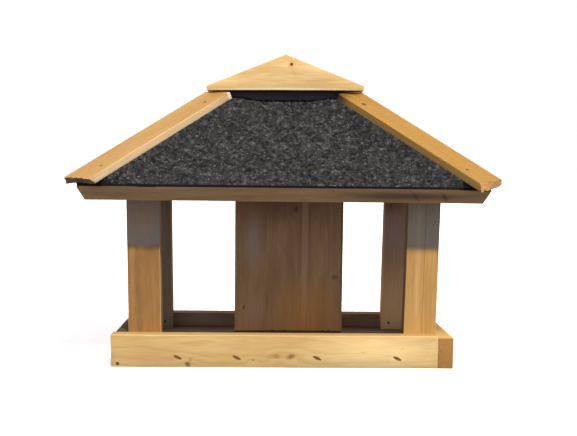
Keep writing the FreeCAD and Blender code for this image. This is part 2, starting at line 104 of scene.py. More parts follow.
def add(tree: bpy.types.NodeTree, kind: str, inputs: dict | None = None,
        out: int | str | None = None, **settings: object) -> bpy.types.NodeSocket | None:
    """Add a node with its settings and links.

    By number, a colour mix takes its factor as 0 and its colours as 6 and 7, and a map range its
    value as 0, the range that it comes from as 1 and 2, and the one that it goes to as 3 and 4.

    Args:
        tree: The node tree that takes it.
        kind: The node's type, without its "ShaderNode" prefix.
        inputs: Values or sockets for the node's inputs, by number or name.
        out: The output to hand back, by number or name. Without it, the first one in use.
        **settings: The node's own settings, by name.

    Returns:
        The asked-for output socket, or None for a node that has no outputs.
    """
    node = tree.nodes.new(f"ShaderNode{kind}")
    for name, value in settings.items():
        setattr(node, name, value)
    for name, value in (inputs or {}).items():
        socket = node.inputs[name]
        if isinstance(value, bpy.types.NodeSocket):
            tree.links.new(value, socket)
        else:
            socket.default_value = value
    if out is not None:
        return node.outputs[out]
    return next((socket for socket in node.outputs if socket.enabled), None)


def new_material(name: str, colour: str) -> bpy.types.Material:
    """Make an empty node material.

    Args:
        name: The material's name.
        colour: Its plain colour for viewports, as sRGB hex.

    Returns:
        The material, with no nodes in it.
    """
    material = bpy.data.materials.new(name)
    material.use_nodes = True
    material.node_tree.nodes.clear()
    material.diffuse_color = srgb(colour)
    return material


class MarkKind(Enum):
    """What a mark on a board is, and how far it pushes the growth rings round itself, in mm."""

    KNOT = 4.0
    PIN_KNOT = 2.0
    # Stains, and patches of painted light and shade, leave the rings alone.
    STAIN_OR_PAINTED_LIGHT = 0.0


@dataclass(frozen=True)
class Mark:
    """One knot, stain, painted highlight or painted shade at a known place on the table, in the row
    frame's millimetres.

    Half sizes run along and across the board's grain and into its depth. Soft is the share of
    them over which it fades, and tilt turns it in the board's plane.
    """

    place: tuple[float, float, float]
    half_length: float
    half_width: float
    colour: str
    strength: float = 0.7
    soft: float = 0.7
    tilt_deg: float = 0.0
    kind: MarkKind = MarkKind.STAIN_OR_PAINTED_LIGHT
    half_depth: float = 9.0


@dataclass(frozen=True)
class StainedSpruce:
    """Spruce, sawn and brushed with a honey-coloured wood stain that has dried matt.

    To the eye: pale early wood with thin darker late-wood lines, short fibre streaks, and end
    grain that has drunk more stain and gone brown. Sizes are in millimetres. Deep is the colour
    where the stain has soaked in, and raw that of worn arrises. Ring is the width of one year's
    growth, and warp is how far the rings wave.
    """

    name: str
    early: str = "#e3c188"
    late: str = "#c6955a"
    deep: str = "#b98a55"
    end: str = "#8d6236"
    raw: str = "#ecd2a0"
    ring: float = 3.4
    late_strength: float = 0.55
    fibre_strength: float = 0.16
    blotch_strength: float = 0.5
    warp: float = 6.0
    worn: float = 0.5
    roughness: float = 0.62
    marks: tuple[Mark, ...] = ()

    @staticmethod
    def _mark_reach(tree: bpy.types.NodeTree, place: bpy.types.NodeSocket, board: "Board",
                    mark: Mark) -> bpy.types.NodeSocket:
        """Measure the distance from a mark's middle, as a share of its half sizes.

        Args:
            tree: The material's node tree.
            place: Where the shaded point lies in the board.
            board: The marked board.
            mark: The mark.

        Returns:
            The share: 0 at the middle and 1 at the rim.
        """
        placed = add(tree, "Mapping", {
            "Vector": place, "Location": board.local(Vector(mark.place) * MM),
            "Rotation": (0.0, 0.0, math.radians(mark.tilt_deg)),
            "Scale": (mark.half_length, mark.half_width, mark.half_depth)}, vector_type="TEXTURE")
        return add(tree, "VectorMath", {0: placed}, operation="LENGTH")

    def _late_wood(self, tree: bpy.types.NodeTree, grain: bpy.types.NodeSocket,
                   reaches: list[tuple[Mark, bpy.types.NodeSocket]]) -> bpy.types.NodeSocket:
        """Draw the late wood: thin lines where the growth rings cross a face.

        Args:
            tree: The material's node tree.
            grain: Where the shaded point lies in the tree, in mm from the pith.
            reaches: The board's marks, each with the distance from its middle.

        Returns:
            How much late wood shows, from 0 to 1.
        """
        # The rings wave over about 200 mm along the board and 50 mm across it.
        slow = add(tree, "VectorMath", {0: grain, 1: (0.0045, 0.02, 0.02)}, operation="MULTIPLY")
        drift = add(tree, "TexNoise", {"Vector": slow, "Scale": 1.0, "Detail": 2.0})
        shift = add(tree, "MapRange", {0: drift, 3: -self.warp, 4: self.warp})
        # Round a knot the rings give way, out to four times its size.
        for mark, reach in reaches:
            if mark.kind is not MarkKind.STAIN_OR_PAINTED_LIGHT:
                pull = add(tree, "MapRange", {0: reach, 1: 0.0, 2: 4.0, 3: mark.kind.value, 4: 0.0},
                           interpolation_type="SMOOTHSTEP")
                shift = add(tree, "Math", {0: shift, 1: pull}, operation="ADD")
        cross = add(tree, "VectorMath", {0: grain, 1: (0.0, 1.0, 1.0)}, operation="MULTIPLY")
        radius = add(tree, "VectorMath", {0: cross}, operation="LENGTH")
        moved = add(tree, "Math", {0: radius, 1: shift}, operation="ADD")
        rings = add(tree, "Math", {0: moved, 1: self.ring}, operation="DIVIDE")
        phase = add(tree, "Math", {0: rings}, operation="FRACT")
        # Each year's late wood thickens slowly and ends at once.
        rise = add(tree, "MapRange", {0: phase, 1: 0.3, 2: 0.88}, interpolation_type="SMOOTHSTEP")
        fall = add(tree, "MapRange", {0: phase, 1: 0.9, 2: 1.0, 3: 1.0, 4: 0.0},
                   interpolation_type="SMOOTHSTEP")
        return add(tree, "Math", {0: rise, 1: fall}, operation="MULTIPLY")

    def material(self, marked: "Board | None" = None) -> bpy.types.Material:
        """Build the wood as a material.

        Args:
            marked: The one board that has this material's marks.

        Returns:
            The material, which reads the boards' grain, board, tone, end_grain and arris attributes.
        """
        made = new_material(self.name, self.early)
        tree = made.node_tree
        grain = add(tree, "Attribute", out="Vector", attribute_name="grain")
        board = add(tree, "Attribute", out="Vector", attribute_name="board")
        tone = add(tree, "Attribute", out="Fac", attribute_name="tone")
        end = add(tree, "Attribute", out="Fac", attribute_name="end_grain")
        arris = add(tree, "Attribute", out="Fac", attribute_name="arris")
        reaches = [(mark, self._mark_reach(tree, board, marked, mark)) for mark in self.marks]
        late = self._late_wood(tree, grain, reaches)

        # Fibre streaks are about a millimetre wide and a few centimetres long.
        thin = add(tree, "VectorMath", {0: grain, 1: (0.035, 1.0, 1.0)}, operation="MULTIPLY")
        fibre = add(tree, "TexNoise", {"Vector": thin, "Scale": 1.1, "Detail": 4.0, "Roughness": 0.62})
        # The stain soaks in unevenly, in patches about 20 mm wide and 80 mm long.
        wide = add(tree, "VectorMath", {0: grain, 1: (0.012, 0.05, 0.05)}, operation="MULTIPLY")
        blotch = add(tree, "TexNoise", {"Vector": wide, "Scale": 1.0, "Detail": 3.0, "Roughness": 0.55})
        soak = add(tree, "MapRange", {0: blotch, 1: 0.42, 2: 0.72, 3: 0.0, 4: self.blotch_strength})

        lines = add(tree, "Math", {0: late, 1: self.late_strength}, operation="MULTIPLY")
        colour = add(tree, "Mix", {0: lines, 6: srgb(self.early), 7: srgb(self.late)}, data_type="RGBA")
        colour = add(tree, "Mix", {0: soak, 6: colour, 7: srgb(self.deep)}, data_type="RGBA")
        worn = add(tree, "Math", {0: arris, 1: self.worn}, operation="MULTIPLY")
        colour = add(tree, "Mix", {0: worn, 6: colour, 7: srgb(self.raw)}, data_type="RGBA")

        # End grain: the rings and open pores show as darker specks about a millimetre apart.
        pores = add(tree, "TexNoise", {"Vector": grain, "Scale": 1.0, "Detail": 3.0, "Roughness": 0.7})
        speck = add(tree, "MapRange", {0: pores, 1: 0.3, 2: 0.7, 3: 0.68, 4: 1.28})
        ring_shade = add(tree, "MapRange", {0: late, 3: 1.04, 4: 0.88})
        end_shade = add(tree, "Math", {0: speck, 1: ring_shade}, operation="MULTIPLY")
        sawn_end = add(tree, "VectorMath", {0: srgb(self.end)[:3], "Scale": end_shade},
                       operation="SCALE")
        colour = add(tree, "Mix", {0: end, 6: colour, 7: sawn_end}, data_type="RGBA")

        for mark, reach in reaches:
            cover = add(tree, "MapRange", {0: reach, 1: 1.0, 2: 1.0 - mark.soft, 3: 0.0,
                                           4: mark.strength}, interpolation_type="SMOOTHSTEP")
            colour = add(tree, "Mix", {0: cover, 6: colour, 7: srgb(mark.colour)}, data_type="RGBA")

        streak = add(tree, "MapRange", {0: fibre, 1: 0.25, 2: 0.75, 3: 1.0 - self.fibre_strength,
                                        4: 1.0 + self.fibre_strength})
        own = add(tree, "MapRange", {0: tone, 1: -1.0, 2: 1.0, 3: 0.93, 4: 1.07})
        shade = add(tree, "Math", {0: streak, 1: own}, operation="MULTIPLY")
        colour = add(tree, "VectorMath", {0: colour, "Scale": shade}, operation="SCALE")

        relief = add(tree, "Math", {0: fibre, 1: 0.7}, operation="MULTIPLY")
        relief = add(tree, "Math", {0: late, 1: 0.5, 2: relief}, operation="MULTIPLY_ADD")
        bump = add(tree, "Bump", {"Height": relief, "Strength": 0.45, "Distance": 0.25 * MM})
        dull = add(tree, "MapRange", {0: fibre, 3: self.roughness - 0.08, 4: self.roughness + 0.1})
        shader = add(tree, "BsdfPrincipled", {
            "Base Color": colour, "Roughness": dull, "Normal": bump, "IOR": 1.48,
            "Specular IOR Level": 0.35})
        add(tree, "OutputMaterial", {"Surface": shader})
        return made


@dataclass(frozen=True)
class BruisedSpruce:
    """Spruce broken by a driven nail or staple: crushed, damp-stained fibres, dark and rough."""

    name: str = "spruce, bruised by a fastener"
    light: str = "#9a7030"
    dark: str = "#5c4212"
    roughness: float = 0.8

    def material(self) -> bpy.types.Material:
        """Build the crushed wood as a material.

        Returns:
            The material.
        """
        made = new_material(self.name, self.dark)
        tree = made.node_tree
        place = add(tree, "TexCoord", out="Object")
        # Crushed fibre is about half a millimetre coarse.
        grit = add(tree, "TexNoise", {"Vector": place, "Scale": 1.0 / (0.5 * MM), "Detail": 2.0})
        colour = add(tree, "Mix", {0: grit, 6: srgb(self.dark), 7: srgb(self.light)}, data_type="RGBA")
        shader = add(tree, "BsdfPrincipled", {
            "Base Color": colour, "Roughness": self.roughness, "IOR": 1.48})
        add(tree, "OutputMaterial", {"Surface": shader})
        return made


@dataclass(frozen=True)
class MineralFelt:
    """Bitumen roofing felt with crushed slate granules rolled into it: rough, charcoal, mottled.

    To the eye: soft dark and grey drifts with single paler granules. Granules are about 1.3 mm
    across. They are drawn at 3 mm so that they show.
    """

    name: str = "roofing felt, mineral granules"
    dark: str = "#161719"
    middle: str = "#404240"
    light: str = "#626361"
    granule: float = 3.0
    drift: float = 7.0
    roughness: float = 0.86

    def material(self) -> bpy.types.Material:
        """Build the felt as a material.

        Returns:
            The material.
        """
        made = new_material(self.name, self.middle)
        tree = made.node_tree
        place = add(tree, "TexCoord", out="Object")
        # Each granule's outline is bent by up to a millimetre, so that none is a plain polygon.
        wobble = add(tree, "TexNoise", {"Vector": place, "Scale": 1.0 / (2.4 * MM), "Detail": 1.0},
                     out="Color")
        push = add(tree, "VectorMath", {0: wobble, 1: (0.5, 0.5, 0.5)}, operation="SUBTRACT")
        push = add(tree, "VectorMath", {0: push, "Scale": 1.6 * MM}, operation="SCALE")
        bent = add(tree, "VectorMath", {0: place, 1: push}, operation="ADD")
        size = 1.0 / (self.granule * MM)
        cells = add(tree, "TexVoronoi", {"Vector": bent, "Scale": size, "Randomness": 1.0}, out="Color")
        gaps = add(tree, "TexVoronoi", {"Vector": bent, "Scale": size}, feature="DISTANCE_TO_EDGE")
        shade = add(tree, "SeparateColor", {0: cells})
        # The granules lie in drifts, about seven millimetres wide, that the eye sees before them.
        drift = add(tree, "TexNoise", {"Vector": bent, "Scale": 1.0 / (self.drift * MM), "Detail": 1.5,
                                       "Roughness": 0.55, "Distortion": 0.8})
        pick = add(tree, "Math", {0: shade, 1: 0.3, 2: -0.15}, operation="MULTIPLY_ADD")
        pick = add(tree, "Math", {0: drift, 1: 1.0, 2: pick}, operation="MULTIPLY_ADD")
        level = add(tree, "MapRange", {0: pick, 1: 0.28, 2: 0.72})
        colour = add(tree, "Mix", {0: level, 6: srgb(self.dark), 7: srgb(self.middle)},
                     data_type="RGBA")
        flake = add(tree, "MapRange", {0: pick, 1: 0.62, 2: 0.85, 3: 0.0, 4: 0.9})
        colour = add(tree, "Mix", {0: flake, 6: colour, 7: srgb(self.light)}, data_type="RGBA")
        seat = add(tree, "MapRange", {0: gaps, 1: 0.0, 2: 0.22})
        bed = add(tree, "MapRange", {0: seat, 3: 0.7, 4: 1.0})
        colour = add(tree, "VectorMath", {0: colour, "Scale": bed}, operation="SCALE")
        relief = add(tree, "Math", {0: drift, 1: 1.5, 2: seat}, operation="MULTIPLY_ADD")
        bump = add(tree, "Bump", {"Height": relief, "Strength": 0.8, "Distance": 0.5 * MM})
        shader = add(tree, "BsdfPrincipled", {
            "Base Color": colour, "Roughness": self.roughness, "Normal": bump, "IOR": 1.5,
            "Specular IOR Level": 0.15})
        add(tree, "OutputMaterial", {"Surface": shader})
        return made


@dataclass(frozen=True)
class CutBitumen:
    """The felt's cut edge: bare bitumen, black and faintly shiny, a little ragged."""

    name: str = "bitumen, cut edge of the felt"
    dark: str = "#0a0807"
    dusty: str = "#1f1815"
    roughness: float = 0.75

    def material(self) -> bpy.types.Material:
        """Build the bitumen as a material.

        Returns:
            The material.
        """
        made = new_material(self.name, self.dark)
        tree = made.node_tree
        place = add(tree, "TexCoord", out="Object")
        dust = add(tree, "TexNoise", {"Vector": place, "Scale": 1.0 / (2.0 * MM), "Detail": 3.0})
        colour = add(tree, "Mix", {0: dust, 6: srgb(self.dark), 7: srgb(self.dusty)}, data_type="RGBA")
        bump = add(tree, "Bump", {"Height": dust, "Strength": 0.6, "Distance": 0.3 * MM})
        shader = add(tree, "BsdfPrincipled", {
            "Base Color": colour, "Roughness": self.roughness, "Normal": bump, "IOR": 1.6,
            "Specular IOR Level": 0.15})
        add(tree, "OutputMaterial", {"Surface": shader})
        return made


@dataclass(frozen=True)
class SlateGranule:
    """Loose-standing slate chips on the felt: grey to buff, with a dull glint on their faces."""

    name: str = "slate granules"
    dark: str = "#2b2b2c"
    light: str = "#636466"
    buff: str = "#6b6863"
    roughness: float = 0.7

    def material(self) -> bpy.types.Material:
        """Build the chips' stone as a material.

        Returns:
            The material, which reads each chip's own tone attribute.
        """
        made = new_material(self.name, self.dark)
        tree = made.node_tree
        tone = add(tree, "Attribute", out="Fac", attribute_name="tone")
        pale = add(tree, "MapRange", {0: tone, 1: 0.3, 2: 1.0}, interpolation_type="SMOOTHSTEP")
        colour = add(tree, "Mix", {0: pale, 6: srgb(self.dark), 7: srgb(self.light)}, data_type="RGBA")
        warm = add(tree, "MapRange", {0: tone, 1: 0.97, 2: 0.985})
        colour = add(tree, "Mix", {0: warm, 6: colour, 7: srgb(self.buff)}, data_type="RGBA")
        place = add(tree, "TexCoord", out="Object")
        cleave = add(tree, "TexNoise", {"Vector": place, "Scale": 1.0 / (0.6 * MM), "Detail": 2.0})
        bump = add(tree, "Bump", {"Height": cleave, "Strength": 0.5, "Distance": 0.15 * MM})
        shader = add(tree, "BsdfPrincipled", {
            "Base Color": colour, "Roughness": self.roughness, "Normal": bump, "IOR": 1.55,
            "Specular IOR Level": 0.2})
        add(tree, "OutputMaterial", {"Surface": shader})
        return made


@dataclass(frozen=True)
class WireSteel:
    """Drawn mild-steel wire, left out of doors: dull grey with brown tarnish in patches."""

    name: str
    clean: str = "#8a6130"
    tarnish: str = "#6b4617"
    tarnish_from: float = 0.36
    roughness: float = 0.5

    def material(self) -> bpy.types.Material:
        """Build the steel as a material.

        Returns:
            The material.
        """
        made = new_material(self.name, self.clean)
        tree = made.node_tree
        place = add(tree, "TexCoord", out="Object")
        # Tarnish gathers in spots a little under a millimetre across.
        spots = add(tree, "TexNoise", {"Vector": place, "Scale": 1.0 / (0.9 * MM), "Detail": 3.0})
        rust = add(tree, "MapRange", {0: spots, 1: self.tarnish_from, 2: self.tarnish_from + 0.15})
        colour = add(tree, "Mix", {0: rust, 6: srgb(self.clean), 7: srgb(self.tarnish)},
                     data_type="RGBA")
        bare = add(tree, "MapRange", {0: rust, 3: 1.0, 4: 0.1})
        rough = add(tree, "MapRange", {0: rust, 3: self.roughness, 4: 0.85})
        bump = add(tree, "Bump", {"Height": spots, "Strength": 0.4, "Distance": 0.08 * MM})
        shader = add(tree, "BsdfPrincipled", {
            "Base Color": colour, "Metallic": bare, "Roughness": rough, "Normal": bump})
        add(tree, "OutputMaterial", {"Surface": shader})
        return made


@dataclass(frozen=True)
class StudioPaper:
    """Matt white background paper over a weak light table, so that shadows on it stay pale.

    Its pulp mottles it by a percent or two, in patches a few centimetres wide.
    """

    name: str = "studio paper"
    white: str = "#f4f4f3"
    shade: str = "#eeeeec"
    glow_tint: str = "#fffaea"
    glow: float = 0.64

    def material(self) -> bpy.types.Material:
        """Build the paper as a material.

        Returns:
            The material.
        """
        made = new_material(self.name, self.white)
        tree = made.node_tree
        place = add(tree, "TexCoord", out="Object")
        pulp = add(tree, "TexNoise", {"Vector": place, "Scale": 30.0, "Detail": 2.0})
        colour = add(tree, "Mix", {0: pulp, 6: srgb(self.white), 7: srgb(self.shade)}, data_type="RGBA")
        shader = add(tree, "BsdfPrincipled", {
            "Base Color": colour, "Roughness": 0.9, "Specular IOR Level": 0.1,
            "Emission Color": srgb(self.glow_tint), "Emission Strength": self.glow})
        add(tree, "OutputMaterial", {"Surface": shader})
        return made


# Camera, lights and floor


@dataclass(frozen=True)
class Viewpoint:
    """The photograph's viewpoint, worked out from the corners of the tray, posts, roof and cap.

    Angles are in radians. Lift shifts the picture up, as a share of its width.
    """

    width_px: int = 577
    focal_px: float = 853.1
    sensor_mm: float = 36.0
    place_mm: tuple[float, float, float] = (-23.6, -1224.2, 267.9)
    yaw: float = -0.0264
    pitch: float = 0.1061
    roll: float = 0.0113
    lift: float = 0.07

    def build(self) -> bpy.types.Object:
        """Make the scene's camera.

        Returns:
            The camera.
        """
        data = bpy.data.cameras.new("viewpoint")
        data.sensor_width = self.sensor_mm
        data.lens = self.focal_px * self.sensor_mm / self.width_px
        data.shift_y = self.lift
        data.clip_start = 0.05
        data.clip_end = 60.0
        level = Vector((math.cos(self.yaw), math.sin(self.yaw), 0.0))
        ahead = Vector((-math.sin(self.yaw) * math.cos(self.pitch),
                        math.cos(self.yaw) * math.cos(self.pitch), -math.sin(self.pitch)))
        upright = level.cross(ahead)
        right = level * math.cos(self.roll) + upright * math.sin(self.roll)
        up = upright * math.cos(self.roll) - level * math.sin(self.roll)
        turn = Matrix((right, up, -ahead)).transposed().to_4x4()
        camera = bpy.data.objects.new("viewpoint", data)
        camera.matrix_world = Matrix.Translation(Vector(self.place_mm) * MM) @ turn
        bpy.context.scene.collection.objects.link(camera)
        bpy.context.scene.camera = camera
        return camera


@dataclass(frozen=True)
class KeyLight:
    """A soft far light, wide enough that its shadows have blurred edges."""

    towards: tuple[float, float, float] = (0.25, -0.575, 0.785)
    wide_deg: float = 4.5
    strength: float = 4.6
    colour: str = "#ffeed4"

    def build(self) -> bpy.types.Object:
        """Make the light.

        Returns:
            The light.
        """
        data = bpy.data.lights.new("key_light", "SUN")
        data.angle = math.radians(self.wide_deg)
        data.energy = self.strength
        data.color = srgb(self.colour)[:3]
        light = bpy.data.objects.new("key_light", data)
        light.rotation_mode = "QUATERNION"
        light.rotation_quaternion = Vector(self.towards).to_track_quat("Z", "Y")
        bpy.context.scene.collection.objects.link(light)
        return light

    @staticmethod
    def _listed(name: str, pieces: list[bpy.types.Object], state: str) -> bpy.types.Collection:
        """List pieces that a light shall reach alone, or shall not reach at all.

        Args:
            name: The list's name.
            pieces: The pieces.
            state: "INCLUDE" or "EXCLUDE".

        Returns:
            The list, for a light's own linking.
        """
        listed = bpy.data.collections.new(name)
        for piece in pieces:
            listed.objects.link(piece)
        for entry in listed.collection_objects:
            entry.light_linking.link_state = state
        return listed

    def flag(self, light: bpy.types.Object, pieces: list[bpy.types.Object],
             under: list[bpy.types.Object], cap: list[bpy.types.Object]) -> None:
        """Keep the light off some pieces, and light others past the cap by a second one like it.

        Args:
            light: The key light.
            pieces: The pieces that it shall not reach.
            under: Pieces that the second light reaches instead.
            cap: The pieces that cast no shadow in the second light.
        """
        off = self._listed("flagged_off", pieces + under, "EXCLUDE")
        light.light_linking.receiver_collection = off
        second = self.build()
        second.light_linking.receiver_collection = self._listed("under_cap", under, "INCLUDE")
        second.light_linking.blocker_collection = self._listed("cap", cap, "EXCLUDE")


@dataclass(frozen=True)
class SoftBox:
    """A square studio light that looks at the middle of the table."""

    name: str
    towards: tuple[float, float, float]
    distance: float
    size: float
    watts: float
    colour: str

    def build(self) -> bpy.types.Object:
        """Make the light.

        Returns:
            The light.
        """
        data = bpy.data.lights.new(self.name, "AREA")
        data.shape = "SQUARE"
        data.size = self.size
        data.energy = self.watts
        data.color = srgb(self.colour)[:3]
        light = bpy.data.objects.new(self.name, data)
        aim = (CAD_BOX[0] + CAD_BOX[1]) / 2
        back = Vector(self.towards).normalized()
        light.location = aim + back * self.distance
        light.rotation_mode = "QUATERNION"
        light.rotation_quaternion = back.to_track_quat("Z", "Y")
        bpy.context.scene.collection.objects.link(light)
        return light


@dataclass
class Studio:
    """Pale floor, one soft key light high on the right, a weak fill and a pale room."""

    floor_radius: float = 14.0
    room_light: float = 0.72
    foot_light: float = 0.48
    room_colour: str = "#bccbff"
    back_colour: str = "#f2e2cf"
    backdrop: str = "#ffffff"
    key: KeyLight = KeyLight()
    fill: SoftBox = SoftBox("fill_light", (-0.8, -1.0, 0.35), 3.0, 1.8, 4.0, "#f2f5ff")

    def build(self) -> bpy.types.Object:
        """Make the lights, the room's own light and the floor.

        Returns:
            The key light.
        """
        key = self.key.build()
        self.fill.build()
        self._room()
        self._floor()
        view = bpy.context.scene.view_settings
        view.view_transform = "Standard"
        view.look = "None"
        return key

    def _room(self) -> None:
        """Light the scene from a pale room, weakly from below, and show it as a plain backdrop."""
        world = bpy.data.worlds.new("pale_room")
        world.use_nodes = True
        tree = world.node_tree
        tree.nodes.clear()
        seen = add(tree, "LightPath", out="Is Camera Ray")
        way = add(tree, "TexCoord", out="Generated")
        height = add(tree, "SeparateXYZ", {0: way}, out="Z")
        # From a little below the level up, the room is bright. Behind the table it is warm.
        level = add(tree, "MapRange", {0: height, 1: -0.15, 2: 0.05, 3: self.foot_light,
                                       4: self.room_light})
        depth = add(tree, "SeparateXYZ", {0: way}, out="Y")
        behind = add(tree, "MapRange", {0: depth, 1: 0.1, 2: 0.6})
        tint = add(tree, "Mix", {0: behind, 6: srgb(self.room_colour), 7: srgb(self.back_colour)},
                   data_type="RGBA")
        glow = add(tree, "Background", {"Color": tint, "Strength": level})
        shown = add(tree, "Background", {"Color": srgb(self.backdrop), "Strength": 1.0})
        mixed = add(tree, "MixShader", {0: seen, 1: glow, 2: shown})
        add(tree, "OutputWorld", {"Surface": mixed})
        bpy.context.scene.world = world

    def _floor(self) -> None:
        """Lay a wide round floor at the table's foot."""
        disc = bmesh.new()
        bmesh.ops.create_circle(disc, cap_ends=True, segments=96, radius=self.floor_radius)
        mesh = bpy.data.meshes.new("studio_floor")
        disc.to_mesh(mesh)
        disc.free()
        mesh.materials.append(StudioPaper().material())
        floor = bpy.data.objects.new("studio_floor", mesh)
        floor.visible_diffuse = False
        floor.visible_glossy = False
        bpy.context.scene.collection.objects.link(floor)


# Boards


def unit(vector: Vector) -> Vector:
    """Give the same direction, one long."""
    return vector.normalized()


def smooth(mesh: bpy.types.Mesh, angle_deg: float) -> None:
    """Shade a mesh smoothly, apart from edges sharper than an angle.

    Args:
        mesh: The mesh.
        angle_deg: The sharpest angle that still looks round, in degrees.
    """
    kept = mesh.attributes.get("custom_normal")
    if kept:
        mesh.attributes.remove(kept)
    mesh.shade_smooth()
    mesh.set_sharp_from_angle(angle=math.radians(angle_deg))


def hang(mesh: bpy.types.Mesh, name: str, node: str,
         finishes: list[bpy.types.Material]) -> bpy.types.Object:
    """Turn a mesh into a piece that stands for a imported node.

    Args:
        mesh: The finished mesh, in the row frame.
        name: The piece's name.
        node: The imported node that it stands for.
        finishes: Its materials, in the order of its faces' numbers.

    Returns:
        The piece.
    """
    for finish in finishes:
        mesh.materials.append(finish)
    piece = bpy.data.objects.new(name, mesh)
    bpy.context.scene.collection.objects.link(piece)
    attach(piece, "root")
    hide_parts(node)
    log.info("%s: %d faces, stands for %s", name, len(mesh.polygons), node)
    return piece


def hip_face(node: str) -> Vector:
    """Find the outward direction of a packed hip board's upper face."""
    return max(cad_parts[node].data.polygons, key=lambda p: p.area * p.normal.z).normal.copy()


class Skin(IntEnum):
    """What a board's face is. Wood and bruise are its materials' numbers too."""

    WOOD = 0
    BRUISE = 1
    ARRIS = 2


@dataclass
class Board:
    """One sawn board or lath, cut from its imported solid. Sizes are in millimetres.

    Attributes:
        node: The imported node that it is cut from.
        run: The way it runs, from its foot on.
        face: The way its best face looks.
        name: The piece's name, when it isn't the node's own with "_lath".
        arris: How far its outer edges are rounded.
        rim: How far the rims of the holes driven into it are crushed.
        step: The distance between the cuts that let its faces wander.
        wander: How far its faces wander.
        wave: The length over which they do.
        pith: Where the tree's pith lies, across the board and out of its face.
        tone: How pale it is beside others of its finish, from -1 to 1.
        ragged: How deep its foot is torn.
        ragged_step: How finely the foot is cut up, so that it can be torn.
        ragged_reach: How far up the tears go.
        foot: How far its foot is cut back, at two corners of one edge and then of the other.
        foot_reach: How far up that cut tells.
        widen: How far its two long edges are pushed out.
        droop: How far they sink below its face.
        lean: How far its foot and its head sit off their packed places.
        rise: How far its level top is raised.
        run_on: How far it goes on past its packed mitre, before it is cut again.
        seed: What sets its own pattern apart.
        axes: Its run, the way across it, and its face.
        spans: Its reach along each of them, in metres.
    """

    node: str
    run: Vector
    face: Vector
    name: str = ""
    arris: float = 0.8
    rim: float = 0.35
    step: float = 16.0
    wander: float = 0.18
    wave: float = 45.0
    pith: tuple[float, float] = (38.0, 55.0)
    tone: float = 0.0
    ragged: float = 0.0
    ragged_step: float = 2.3
    ragged_reach: float = 4.0
    foot: tuple[float, ...] = (0.0, 0.0, 0.0, 0.0)
    foot_reach: float = 14.0
    widen: tuple[float, float] = (0.0, 0.0)
    droop: tuple[float, float] = (0.0, 0.0)
    lean: tuple[Vector, Vector] = (Vector(), Vector())
    rise: float = 0.0
    run_on: float = 0.0
    seed: int = 0
    axes: tuple[Vector, Vector, Vector] = field(init=False)
    spans: list[tuple[float, float]] = field(init=False)

    def __post_init__(self) -> None:
        """Find the board's reach along its own three directions."""
        self.axes = (self.run, self.run.cross(self.face), self.face)
        points = [v.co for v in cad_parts[self.node].data.vertices]
        self.spans = [(min(p.dot(d) for p in points), max(p.dot(d) for p in points)) for d in self.axes]

    def at(self, *shares: float) -> Vector:
        """Find a point of the board in the row frame.

        Args:
            *shares: How far it lies from the middle along the three directions, from -1 to 1.

        Returns:
            The point, in metres.
        """
        return sum((d * (low + high + share * (high - low)) / 2
                    for d, (low, high), share in zip(self.axes, self.spans, shares)), Vector())

    def local(self, point: Vector) -> Vector:
        """Give a point of the row frame in the board's own directions, in mm from its middle."""
        return Vector([(point.dot(d) - (low + high) / 2) / MM
                       for d, (low, high) in zip(self.axes, self.spans)])

    def build(self, finish: StainedSpruce | bpy.types.Material,
              bruise: bpy.types.Material) -> bpy.types.Object:
        """Cut, ease and finish the board.

        Args:
            finish: The finish of its faces, as a recipe of its own or as a shared material.
            bruise: The finish of the holes driven into it.

        Returns:
            The piece.
        """
        solid = self._cut()
        self._ease(solid, self._outer_faces(solid))
        self._slice(solid)
        self._note_grain(solid)
        self._wander(solid)
        name = self.name or f"{self.node}_lath"
        mesh = bpy.data.meshes.new(name)
        solid.to_mesh(mesh)
        solid.free()
        smooth(mesh, angle_deg=28.0)
        wood = finish.material(self) if isinstance(finish, StainedSpruce) else finish
        return hang(mesh, name, self.node, [wood, bruise])

    def _cut(self) -> bmesh.types.BMesh:
        """Take the board as packed, weld it, make its flat faces whole, and lengthen it.

        Returns:
            The board, with room for all that its finish reads.
        """
        solid = bmesh.new()
        solid.from_mesh(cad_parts[self.node].data)
        for name in ("board", "grain"):
            solid.verts.layers.float_vector.new(name)
        solid.verts.layers.float.new("tone")
        for name in ("arris", "end_grain"):
            solid.faces.layers.float.new(name)
        bmesh.ops.remove_doubles(solid, verts=solid.verts, dist=WELD)
        flat = math.radians(0.5)
        bmesh.ops.dissolve_limit(solid, angle_limit=flat, verts=solid.verts, edges=solid.edges)
        if self.rise:
            level = max(v.co.z for v in solid.verts)
            for v in solid.verts:
                if v.co.z > level - FLUSH:
                    v.co += self.run * self.rise * MM / self.run.z
        if self.run_on:
            self._run_past_mitre(solid)
            bmesh.ops.dissolve_limit(solid, angle_limit=flat, verts=solid.verts, edges=solid.edges)
        solid.normal_update()
        return solid

    def _run_past_mitre(self, solid: bmesh.types.BMesh) -> None:
        """Lengthen the board past its packed mitre, then cut it square, and level under the cap.

        Args:
            solid: The board.
        """
        level = max(v.co.z for v in solid.verts)
        shy = 0.05 * MM
        solid.normal_update()
        mitre = max((f for f in solid.faces if abs(f.normal.y) > 0.9), key=lambda f: f.calc_area())
        grown = bmesh.ops.extrude_face_region(solid, geom=[mitre])["geom"]
        if mitre.is_valid:
            bmesh.ops.delete(solid, geom=[mitre], context="FACES_ONLY")
        bmesh.ops.translate(solid, verts=[g for g in grown if isinstance(g, bmesh.types.BMVert)],
                            vec=self.run * self.run_on * MM)
        for way, reach in ((Z_AXIS, level), (self.run, self.spans[0][1])):
            cut = bmesh.ops.bisect_plane(
                solid, geom=solid.verts[:] + solid.edges[:] + solid.faces[:], clear_outer=True,
                plane_co=way * (reach - shy), plane_no=way, dist=FLUSH / 10)["geom_cut"]
            rim = [g for g in cut if isinstance(g, bmesh.types.BMEdge)]
            bmesh.ops.contextual_create(solid, geom=rim)

